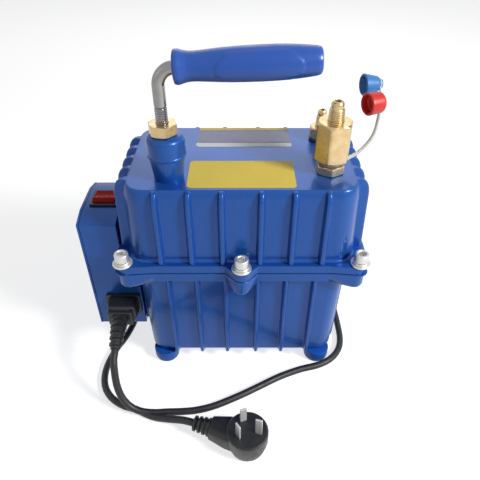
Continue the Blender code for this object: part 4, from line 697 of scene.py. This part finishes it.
# Handle rod: a 10 mm steel rod, bent and chrome plated. The thread at its foot screws into the boss
# of the upper shell.
def sweep(path, radii, sides=32):
    """A closed round shape along a path, with one radius for each of its points."""
    def stand(i):
        way = (path[min(i + 1, len(path) - 1)] - path[max(i - 1, 0)]).normalized()
        turn = Vector((0, 0, 1)).rotation_difference(way).to_matrix().to_4x4()
        return Matrix.Translation(path[i]) @ turn @ Matrix.Scale(radii[i], 4)

    bm = bmesh.new()
    bmesh.ops.create_circle(bm, cap_ends=True, radius=1, segments=sides, matrix=stand(0))
    bm.faces.ensure_lookup_table()
    face = bm.faces[0]
    for i in range(1, len(path)):
        grown = bmesh.ops.extrude_face_region(bm, geom=[face])["geom"]
        ring = [item for item in grown if isinstance(item, bmesh.types.BMVert)]
        face = next(item for item in grown if isinstance(item, bmesh.types.BMFace))
        bmesh.ops.transform(bm, matrix=stand(i) @ stand(i - 1).inverted(), verts=ring)
    return bm


rod_radius = 5 * MM
rod_bend = 14 * MM
grip_slope = math.radians(2.6)
grip_axis_z = top_z + 91.9 * MM
grip_start = 12.5 * MM
rod_in_grip = 30 * MM
grip_way = Vector((math.cos(grip_slope), 0, math.sin(grip_slope)))
corner_point = Vector((handle_x, handle_y, grip_axis_z))
turn_angle = math.pi / 2 - grip_slope
bend_reach = rod_bend * math.tan(turn_angle / 2)
path, radii = [], []
thread_pitch = 1.9 * MM
z = socket_top - 10 * MM
while z < socket_top + 21 * MM:
    for part, share in ((0, 0.86), (0.3, 1.0), (0.5, 1.0), (0.8, 0.86)):
        path.append(Vector((handle_x, handle_y, z + part * thread_pitch)))
        radii.append(rod_radius * share)
    z += thread_pitch
for z, share in ((z + 0.3 * MM, 0.9), (z + MM, 1.0)):
    path.append(Vector((handle_x, handle_y, z)))
    radii.append(rod_radius * share)
bend_centre = Vector((handle_x + rod_bend, handle_y, grip_axis_z - bend_reach))
for i in range(17):
    angle = turn_angle * i / 16
    path.append(bend_centre + rod_bend * Vector((-math.cos(angle), 0, math.sin(angle))))
    radii.append(rod_radius)
path.append(corner_point + grip_way * (grip_start + rod_in_grip))
radii.append(rod_radius)
chrome, tree, shader, place = new_material("chrome_plate", metallic=1.0)
two_tones(tree, shader, noise(tree, place, 90, 3), (0.24, 0.235, 0.225), (0.32, 0.31, 0.30))
vary_gloss(tree, shader, noise(tree, place, 60, 4), 0.07, 0.16)
relief(tree, noise(tree, place, 300, 2), 0.00002, shader)
finish_piece("chrome_rod", sweep(path, radii), chrome, "housing", "chrome", "handle_rod")

# Grip: a moulded blue plastic sleeve pushed over the rod, flared at its inner end, with a raised
# finger pad on its front and back.
grip_profile = ((0, 8), (0.15, 11.2), (0.6, 12.2), (2, 12.8), (4, 12.7), (7, 11.7), (10.5, 10.9), (14, 10.7),
                (19, 10.9), (26, 11.4), (34, 12.0), (44, 12.5), (55, 12.75), (66, 12.85), (76, 12.75),
                (85, 12.4), (93, 11.8), (99, 11.2), (103.5, 10.7), (106.3, 10.3), (108, 9.6),
                (108.8, 8.6), (109, 6))
steps = []
for (a, ra), (b, rb) in zip(grip_profile, grip_profile[1:]):
    parts = max(1, round((b - a) / 1.5))
    steps += [(a + (b - a) * i / parts, ra + (rb - ra) * i / parts) for i in range(parts)]
steps.append(grip_profile[-1])
path = [corner_point + grip_way * (grip_start + s * MM) for s, radius in steps]
bm = sweep(path, [radius * MM for s, radius in steps], 72)
for i in range(2):
    bmesh.ops.smooth_vert(bm, verts=[vert for vert in bm.verts if len(vert.link_edges) == 4], factor=0.4,
                          use_axis_x=False, use_axis_y=True, use_axis_z=True)
pad_half, pad_rise = 27 * MM, 0.45 * MM
pad_middle = grip_start + 63 * MM
pad_tilt = math.radians(62)
for vert in bm.verts:
    offset = vert.co - corner_point
    reach = offset.dot(grip_way)
    out = offset - grip_way * reach
    if out.length > 6 * MM:
        tilt = math.asin(min(1, abs(out.z) / out.length))
        ends = (pad_half + 6 * MM * math.cos(tilt * 2.2) - abs(reach - pad_middle)) / MM
        sides = (pad_tilt - tilt) * 12
        height = max(0.0, min(1.0, ends / 1.6)) * max(0.0, min(1.0, sides / 1.6))
        vert.co += out.normalized() * pad_rise * height
grip_plastic, tree, shader, place = new_material("blue_grip_plastic")
two_tones(tree, shader, noise(tree, place, 35, 3), (0.020, 0.095, 0.44), (0.026, 0.115, 0.52))
vary_gloss(tree, shader, noise(tree, place, 90, 3), 0.28, 0.38)
relief(tree, noise(tree, place, 900, 3), 0.00004, shader)
finish_piece("grip_sleeve", bm, grip_plastic, "housing", "blue_rubber", "handle_grip")


# Lock nut: a hexagon nut of machined brass. It runs on the rod's thread and locks the rod in its
# boss.
def hex_bar(across, low, high, chamfer, bore=0.0, centre=(0, 0), turn=0):
    """A hexagon bar, coned at both ends; its corners face front and back before its turn, in degrees."""
    full = across / 2 * 1.16
    bite = chamfer / 3
    profile = [(across / 2 * (0.985 + 0.06 * i), low + bite * i) for i in range(3)] + [(full, low + chamfer)]
    profile += [(full, high - chamfer)] + [(across / 2 * (0.985 + 0.06 * i), high - bite * i)
                                           for i in (2, 1, 0)]
    if bore:
        profile = [(bore, low)] + profile + [(bore, high), (bore, low)]
    else:
        profile = [(0, low)] + profile + [(0, high)]
    bm = lathe(profile, 60)
    for vert in bm.verts:
        flat = vert.co.xy.length
        if flat > bore + 0.1 * MM:
            limit = hex_reach(math.atan2(vert.co.y, vert.co.x), across)
            if flat > limit:
                vert.co.xy *= limit / flat
    bmesh.ops.rotate(bm, verts=bm.verts, matrix=Matrix.Rotation(math.radians(turn), 3, "Z"))
    bmesh.ops.translate(bm, verts=bm.verts, vec=(*centre, 0))
    return bm


brass, tree, shader, place = new_material("machined_brass", metallic=0.85)
stain = noise(tree, place, 120, 4, 0.6)
two_tones(tree, shader, spread(tree, stain, 0, 1), (0.58, 0.42, 0.20), (0.72, 0.55, 0.31))
vary_gloss(tree, shader, noise(tree, place, 400, 3), 0.26, 0.38)
relief(tree, noise(tree, place, 1200, 2), 0.00004, shader)
nut_foot = socket_top + gap
lock_nut_across, lock_nut_height, lock_nut_turn = 21 * MM, 9 * MM, 18
bm = hex_bar(lock_nut_across, nut_foot, nut_foot + lock_nut_height, 0.9 * MM, rod_radius + gap,
             (handle_x, handle_y), lock_nut_turn)
finish_piece("brass_lock_nut", bm, brass, "housing", "brass", "handle_lock_nut")

# Intake port: a brass adapter screwed into the top, and on it the hexagon body of the check valve
# with its flare. The strap's ring lies in the neck between them.
port_x, port_y = 76 * MM, -27 * MM
nut_foot = top_z + gap
nut_top = nut_foot + 7.8 * MM
neck_top = nut_top + 3.6 * MM
adapter_across = 22 * MM
nipple_radius, nipple_depth, neck_radius = 6 * MM, 12 * MM, 6.6 * MM
bm = hex_bar(adapter_across, nut_foot, nut_top, 1.0 * MM, 0, (port_x, port_y))
join(bm, lathe(((0, nut_foot - nipple_depth), (nipple_radius, nut_foot - nipple_depth),
                (nipple_radius, nut_foot + MM), (0, nut_foot + MM)), 24, (port_x, port_y)))
join(bm, lathe(((0, nut_top - MM), (neck_radius, nut_top - MM), (neck_radius, neck_top), (0, neck_top)), 40,
               (port_x, port_y)))
finish_piece("brass_adapter", bm, brass, "housing", "brass", "intake_adapter")


def flare_profile(foot, radius, length, ridges):
    """A flare thread from its shoulder to its nose and down into the bore, as (radius, height)."""
    pitch = length * 0.6 / ridges
    points = [(radius * 1.12, foot - 0.2 * MM), (radius * 1.02, foot + 0.5 * MM)]
    for i in range(ridges):
        base = foot + 0.6 * MM + pitch * i
        crest = radius * (1 - 0.08 * i / ridges)
        points += [(crest * 0.91, base), (crest, base + pitch * 0.35), (crest, base + pitch * 0.6),
                   (crest * 0.91, base + pitch * 0.95)]
    for share, up in ((0.80, 0.66), (0.78, 0.70), (0.80, 0.72), (0.80, 0.83), (0.76, 0.89), (0.66, 0.96),
                      (0.58, 0.99), (0.52, 1.0), (0.44, 1.0)):
        points.append((radius * share, foot + length * up))
    bore = radius * 0.38
    return points + [(bore, foot + length - 0.6 * MM), (bore, foot + 2 * MM), (0, foot + 2 * MM)]


valve_foot = neck_top + gap
valve_top = valve_foot + 34.5 * MM
valve_across, valve_turn = 27 * MM, -17
flare_radius, flare_length, flare_ridges = 6.7 * MM, 16.7 * MM, 7
bm = hex_bar(valve_across, valve_foot, valve_top, 2.2 * MM, 0, (port_x, port_y), valve_turn)
flare = flare_profile(valve_top, flare_radius, flare_length, flare_ridges)
join(bm, lathe([(0, valve_top - 2 * MM)] + flare, 48, (port_x, port_y)))
finish_piece("brass_valve_body", bm, brass, "housing", "brass", "check_valve_body")

# Exhaust port: the smaller brass flare fitting behind, with its hexagon. It is screwed into the top
# on a black rubber seal.
rear_x, rear_y = 75 * MM, 33 * MM
seal_foot = top_z + gap
seal_top = seal_foot + 2.4 * MM
hex_foot = seal_top + gap
hex_top = hex_foot + 11 * MM
rear_across = 19 * MM
rear_flare_radius, rear_flare_length, rear_flare_ridges = 5.4 * MM, 15.9 * MM, 5
bm = hex_bar(rear_across, hex_foot, hex_top, 1.4 * MM, 0, (rear_x, rear_y))
join(bm, lathe(((0, top_z - nipple_depth), (nipple_radius, top_z - nipple_depth),
                (nipple_radius, hex_foot + MM), (0, hex_foot + MM)), 24, (rear_x, rear_y)))
rear_flare = flare_profile(hex_top, rear_flare_radius, rear_flare_length, rear_flare_ridges)
join(bm, lathe([(0, hex_top - 2 * MM)] + rear_flare, 40, (rear_x, rear_y)))
finish_piece("brass_exhaust_port", bm, brass, "housing", "brass", "exhaust_port")

black_rubber, tree, shader, place = new_material("black_moulding")
two_tones(tree, shader, noise(tree, place, 80, 4, 0.6), (0.010, 0.010, 0.011), (0.018, 0.018, 0.019))
vary_gloss(tree, shader, noise(tree, place, 200, 3), 0.34, 0.5)
relief(tree, noise(tree, place, 1300, 3), 0.00005, shader)
seal_inner, seal_outer, seal_edge = 6.3 * MM, 10.4 * MM, 0.4 * MM
bm = lathe(((seal_inner, seal_foot), (seal_outer - seal_edge, seal_foot), (seal_outer, seal_foot + seal_edge),
            (seal_outer, seal_top - seal_edge), (seal_outer - seal_edge, seal_top), (seal_inner, seal_top),
            (seal_inner, seal_foot)), 40, (rear_x, rear_y))
finish_piece("rubber_seal", bm, black_rubber, "housing", "black_rubber", "exhaust_port_seal")

# Caps and strap: two dust caps of moulded vinyl, held by their buttons in the eyes of a soft milky
# plastic strap. Its ring lies in the adapter's neck.
strap_plastic, tree, shader, place = new_material("milky_strap_plastic")
two_tones(tree, shader, noise(tree, place, 70, 3), (0.74, 0.77, 0.75), (0.84, 0.86, 0.84))
shader.inputs["Roughness"].default_value = 0.32
shader.inputs["Subsurface Weight"].default_value = 0.25
shader.inputs["Subsurface Scale"].default_value = 0.002
relief(tree, noise(tree, place, 300, 3), 0.00004, shader)


def dust_cap(name, node, mouth, turn, taper, dark, light):
    """A moulded cap, its mouth at a point and its axis turned about Z from +X; node is its body too."""
    profile = [(0, 10.5), (5.6 - taper * 0.5, 10.5), (6.4 - taper * 0.4, 9.8), (6.9, 6), (7.1, 5.4),
               (7.7, 5.1), (8.3, 5.2), (8.7, 5.6), (8.8, 6.3), (8.8 - taper * 0.2, 8),
               (8.8 - taper * 0.9, 16), (8.5 - taper, 17.4), (7.8 - taper, 18.2), (6.8 - taper, 18.5),
               (2.8, 18.5), (2.8, 20.1), (3.6, 20.1), (3.9, 20.4), (3.9, 20.7), (3.6, 21), (0, 21)]
    bm = lathe([(radius * MM, height * MM) for radius, height in profile], 48)
    bmesh.ops.rotate(bm, verts=bm.verts, matrix=Matrix.Rotation(math.pi / 2, 3, "Y"))
    bmesh.ops.rotate(bm, verts=bm.verts, matrix=Matrix.Rotation(turn, 3, "Z"))
    bmesh.ops.translate(bm, verts=bm.verts, vec=Vector(mouth) * MM)
    vinyl, tree, shader, place = new_material(name + "_vinyl")
    two_tones(tree, shader, noise(tree, place, 110, 3), dark, light)
    vary_gloss(tree, shader, noise(tree, place, 150, 2), 0.34, 0.46)
    relief(tree, noise(tree, place, 800, 3), 0.00004, shader)
    finish_piece(name, bm, vinyl, node, node.replace("cap", "plastic"), node)


red_mouth, red_turn = (93.4, -31.2, 277), math.radians(22)
blue_mouth, blue_turn = (93.2, -7.8, 284.2), math.radians(10)
dust_cap("red_dust_cap", "red_cap", red_mouth, red_turn, 0.5, (0.62, 0.020, 0.014), (0.74, 0.030, 0.020))
dust_cap("blue_dust_cap", "blue_cap", blue_mouth, blue_turn, 2.6, (0.035, 0.19, 0.52), (0.045, 0.23, 0.60))


def flat_ring(inner, outer, low, high):
    """A flat ring about an upright axis, its outer edges broken."""
    edge = 0.3 * MM
    return lathe(((inner, low), (outer - edge, low), (outer, low + edge), (outer, high - edge),
                  (outer - edge, high), (inner, high), (inner, low)), 40)


neck_middle = (nut_top + neck_top) / 2
ring_half, eye_half = 0.85 * MM, 0.6 * MM
eye_reach = 19.3 * MM
strap_radius, bridge_radius = 1.6 * MM, 0.9 * MM
eye_side = 3.8 * MM
bm = flat_ring(7.0 * MM, 10 * MM, neck_middle - ring_half, neck_middle + ring_half)
bmesh.ops.translate(bm, verts=bm.verts, vec=(port_x, port_y, 0))
eye_middles = []
for mouth, turn in ((red_mouth, red_turn), (blue_mouth, blue_turn)):
    stand = Matrix.Rotation(turn, 3, "Z")
    eye_middles.append(Vector(mouth) * MM + stand @ Vector((eye_reach, 0, 0)))
    eye = flat_ring(3.1 * MM, 4.4 * MM, -eye_half, eye_half)
    bmesh.ops.rotate(eye, verts=eye.verts, matrix=stand @ Matrix.Rotation(math.pi / 2, 3, "Y"))
    bmesh.ops.translate(eye, verts=eye.verts, vec=eye_middles[-1])
    join(bm, eye)
red_eye, blue_eye = eye_middles
start = Vector((port_x + 9.2 * MM, port_y, neck_middle))
bends = ((5, 0.3, 2.4), (13, 0.8, 7.8), (20, 1.6, 15.8), (24.6, 2.3, 26.5))
strap_path = [start] + [start + Vector(bend) * MM for bend in bends]
strap_path = smooth_path(strap_path + [red_eye - Vector((0, 0, eye_side))], 1.5 * MM)
join(bm, sweep(strap_path, [strap_radius] * len(strap_path), 14))
apart = (blue_eye - red_eye).normalized() * eye_side
join(bm, sweep([red_eye + apart, blue_eye - apart], [bridge_radius] * 2, 14))
finish_piece("milky_strap", bm, strap_plastic, "strap", "clear_plastic", "cap_strap")


# Control box: a box of bent sheet metal and its cover, both in the housing's paint. Two screws hold
# it to the pad on the housing's left.
def soft_copy(node, width, segments=3, least=28):
    """A CAD node's own shape with its flat faces made whole and its edges rounded."""
    bm = bmesh.new()
    bm.from_mesh(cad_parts[node].data)
    bmesh.ops.remove_doubles(bm, verts=bm.verts, dist=0.005 * MM)
    bmesh.ops.dissolve_limit(bm, angle_limit=math.radians(1.5), verts=bm.verts, edges=bm.edges)
    soften(bm, width, segments, least)
    bmesh.ops.translate(bm, verts=bm.verts, vec=-middle)
    return bm


finish_piece("switch_box", soft_copy("control_box", 1.2 * MM), blue_paint, "housing", "blue_paint",
             "control_box")
finish_piece("switch_box_cover", soft_copy("control_box_cover", 0.8 * MM), blue_paint, "housing",
             "blue_paint", "control_box_cover")

# Rocker switch: a red moulded rocker that tilts in a black plastic frame, which snaps into the box's
# top.
black_plastic, tree, shader, place = new_material("black_plastic")
two_tones(tree, shader, noise(tree, place, 50, 3), (0.008, 0.008, 0.009), (0.014, 0.014, 0.015))
vary_gloss(tree, shader, noise(tree, place, 240, 3), 0.28, 0.4)
relief(tree, noise(tree, place, 1100, 3), 0.00004, shader)
finish_piece("switch_bezel", soft_copy("switch_frame", 0.4 * MM), black_plastic, "housing", "black_plastic",
             "switch_frame")
rocker_plastic, tree, shader, place = new_material("red_rocker_plastic")
two_tones(tree, shader, noise(tree, place, 120, 3), (0.62, 0.010, 0.007), (0.74, 0.015, 0.010))
vary_gloss(tree, shader, noise(tree, place, 150, 2), 0.2, 0.3)
shader.inputs["Specular IOR Level"].default_value = 0.12
finish_piece("red_rocker", soft_copy("rocker", 0.5 * MM), rocker_plastic, "switch_rocker", "red_plastic",
             "rocker")

# Power inlet: a black plastic appliance inlet snapped into the box's front. The lead's rubber
# connector, moulded with a collar and a ringed strain relief, is pushed into it.
finish_piece("appliance_inlet", soft_copy("power_inlet", 0.25 * MM, 2), black_plastic, "housing",
             "black_plastic", "power_inlet")


def relief_rings(centre_at, first, last, count, wide, root, tip):
    """Raised rings on a strain relief; centre_at gives the axis for a share of its length."""
    bm = bmesh.new()
    for i in range(count):
        share = first + (last - first) * i / (count - 1)
        way = (centre_at(share + 0.02) - centre_at(share - 0.02)).normalized()
        path = [centre_at(share) + way * wide * reach for reach in (-0.5, -0.32, 0.32, 0.5)]
        radius = root + (tip - root) * share
        join(bm, sweep(path, [radius * grow for grow in (0.82, 1, 1, 0.82)], 32))
    return bm


def connector_axis(share):
    """The axis of the connector's strain relief, which droops towards its end."""
    return Vector((inlet_x, connector_tail - (0.5 + 36 * share) * MM, inlet_z - 7.5 * MM * share * share))


inlet_x, inlet_z, connector_tail = -122 * MM, 64.5 * MM, -56.2 * MM
bm = soft_copy("cord_connector", 0.4 * MM)
collar = block((inlet_x - 12.4 * MM, connector_tail - 4.5 * MM, inlet_z - 9.4 * MM),
               (inlet_x + 12.4 * MM, connector_tail + 4 * MM, inlet_z + 8.2 * MM))
join(bm, soften(collar, 1.6 * MM))
join(bm, relief_rings(connector_axis, 0.2, 0.88, 5, 4.2 * MM, 9.2 * MM, 5.8 * MM))
on_cord = [finish_piece("moulded_connector", bm, black_rubber, "housing", "black_rubber", "cord_connector")]


# Wall plug: a round plug of black rubber, moulded onto the lead with a ringed strain relief. It lies
# on its back, its blades upwards.
def plug_axis(share):
    """The axis of the plug's strain relief."""
    return plug_middle + Vector((0, 0, plug_cord_height)) + plug_way * (35 + 17 * share) * MM


bm = soft_copy("wall_plug", 0.4 * MM)
join(bm, relief_rings(plug_axis, 0.1, 0.92, 4, 2.9 * MM, 8.8 * MM, 7.0 * MM))
on_cord.append(finish_piece("moulded_plug", bm, black_rubber, "housing", "black_rubber", "wall_plug"))

# Plug pins: flat nickel plated brass blades. With them all that hangs on the cord is there.
nickel, tree, shader, place = new_material("nickel_plate", metallic=0.4)
two_tones(tree, shader, noise(tree, place, 300, 3), (0.84, 0.83, 0.80), (0.93, 0.92, 0.89))
shader.inputs["Roughness"].default_value = 0.3
relief(tree, noise(tree, place, 900, 2), 0.00003, shader)
for name in ("earth", "line", "neutral"):
    on_cord.append(finish_piece("blade_" + name, soft_copy("plug_pin_" + name, 0.35 * MM), nickel, "housing",
                                "steel", "plug_pin_" + name))

# Inside: the motor, the pump unit, the valve's poppet and spring, the capacitor and the box's screws.
# They keep their CAD shape and get the finish of their own materials.
steel, tree, shader, place = new_material("ground_steel", metallic=0.9)
two_tones(tree, shader, noise(tree, place, 200, 4), (0.42, 0.42, 0.43), (0.56, 0.56, 0.57))
vary_gloss(tree, shader, noise(tree, place, 500, 3), 0.28, 0.42)
paint_nodes(steel, "check_valve_spring", "motor_rotor", "pump_shaft", "vane_rotor", "bearing_left",
            "bearing_right", "run_capacitor")
iron, tree, shader, place = new_material("machined_grey_iron", metallic=0.7)
grit = noise(tree, place, 900, 4, 0.6)
two_tones(tree, shader, grit, (0.13, 0.13, 0.135), (0.22, 0.22, 0.225))
shader.inputs["Roughness"].default_value = 0.55
relief(tree, grit, 0.00008, shader)
paint_nodes(iron, "stator_core", "motor_end_plate", "pump_front_plate", "pump_cylinder", "pump_end_cover",
            "motor_cradle")
copper, tree, shader, place = new_material("copper", metallic=0.9)
two_tones(tree, shader, noise(tree, place, 150, 4), (0.60, 0.24, 0.11), (0.76, 0.34, 0.18))
shader.inputs["Roughness"].default_value = 0.35
paint_nodes(copper, "stator_windings", "intake_tube")
carbon, tree, shader, place = new_material("carbon_composite")
two_tones(tree, shader, noise(tree, place, 800, 4), (0.03, 0.03, 0.032), (0.06, 0.06, 0.065))
shader.inputs["Roughness"].default_value = 0.5
paint_nodes(carbon, "vane_front", "vane_back")
paint_nodes(brass, "check_valve_poppet")
paint_nodes(zinc, "box_screw_lower", "box_screw_upper")
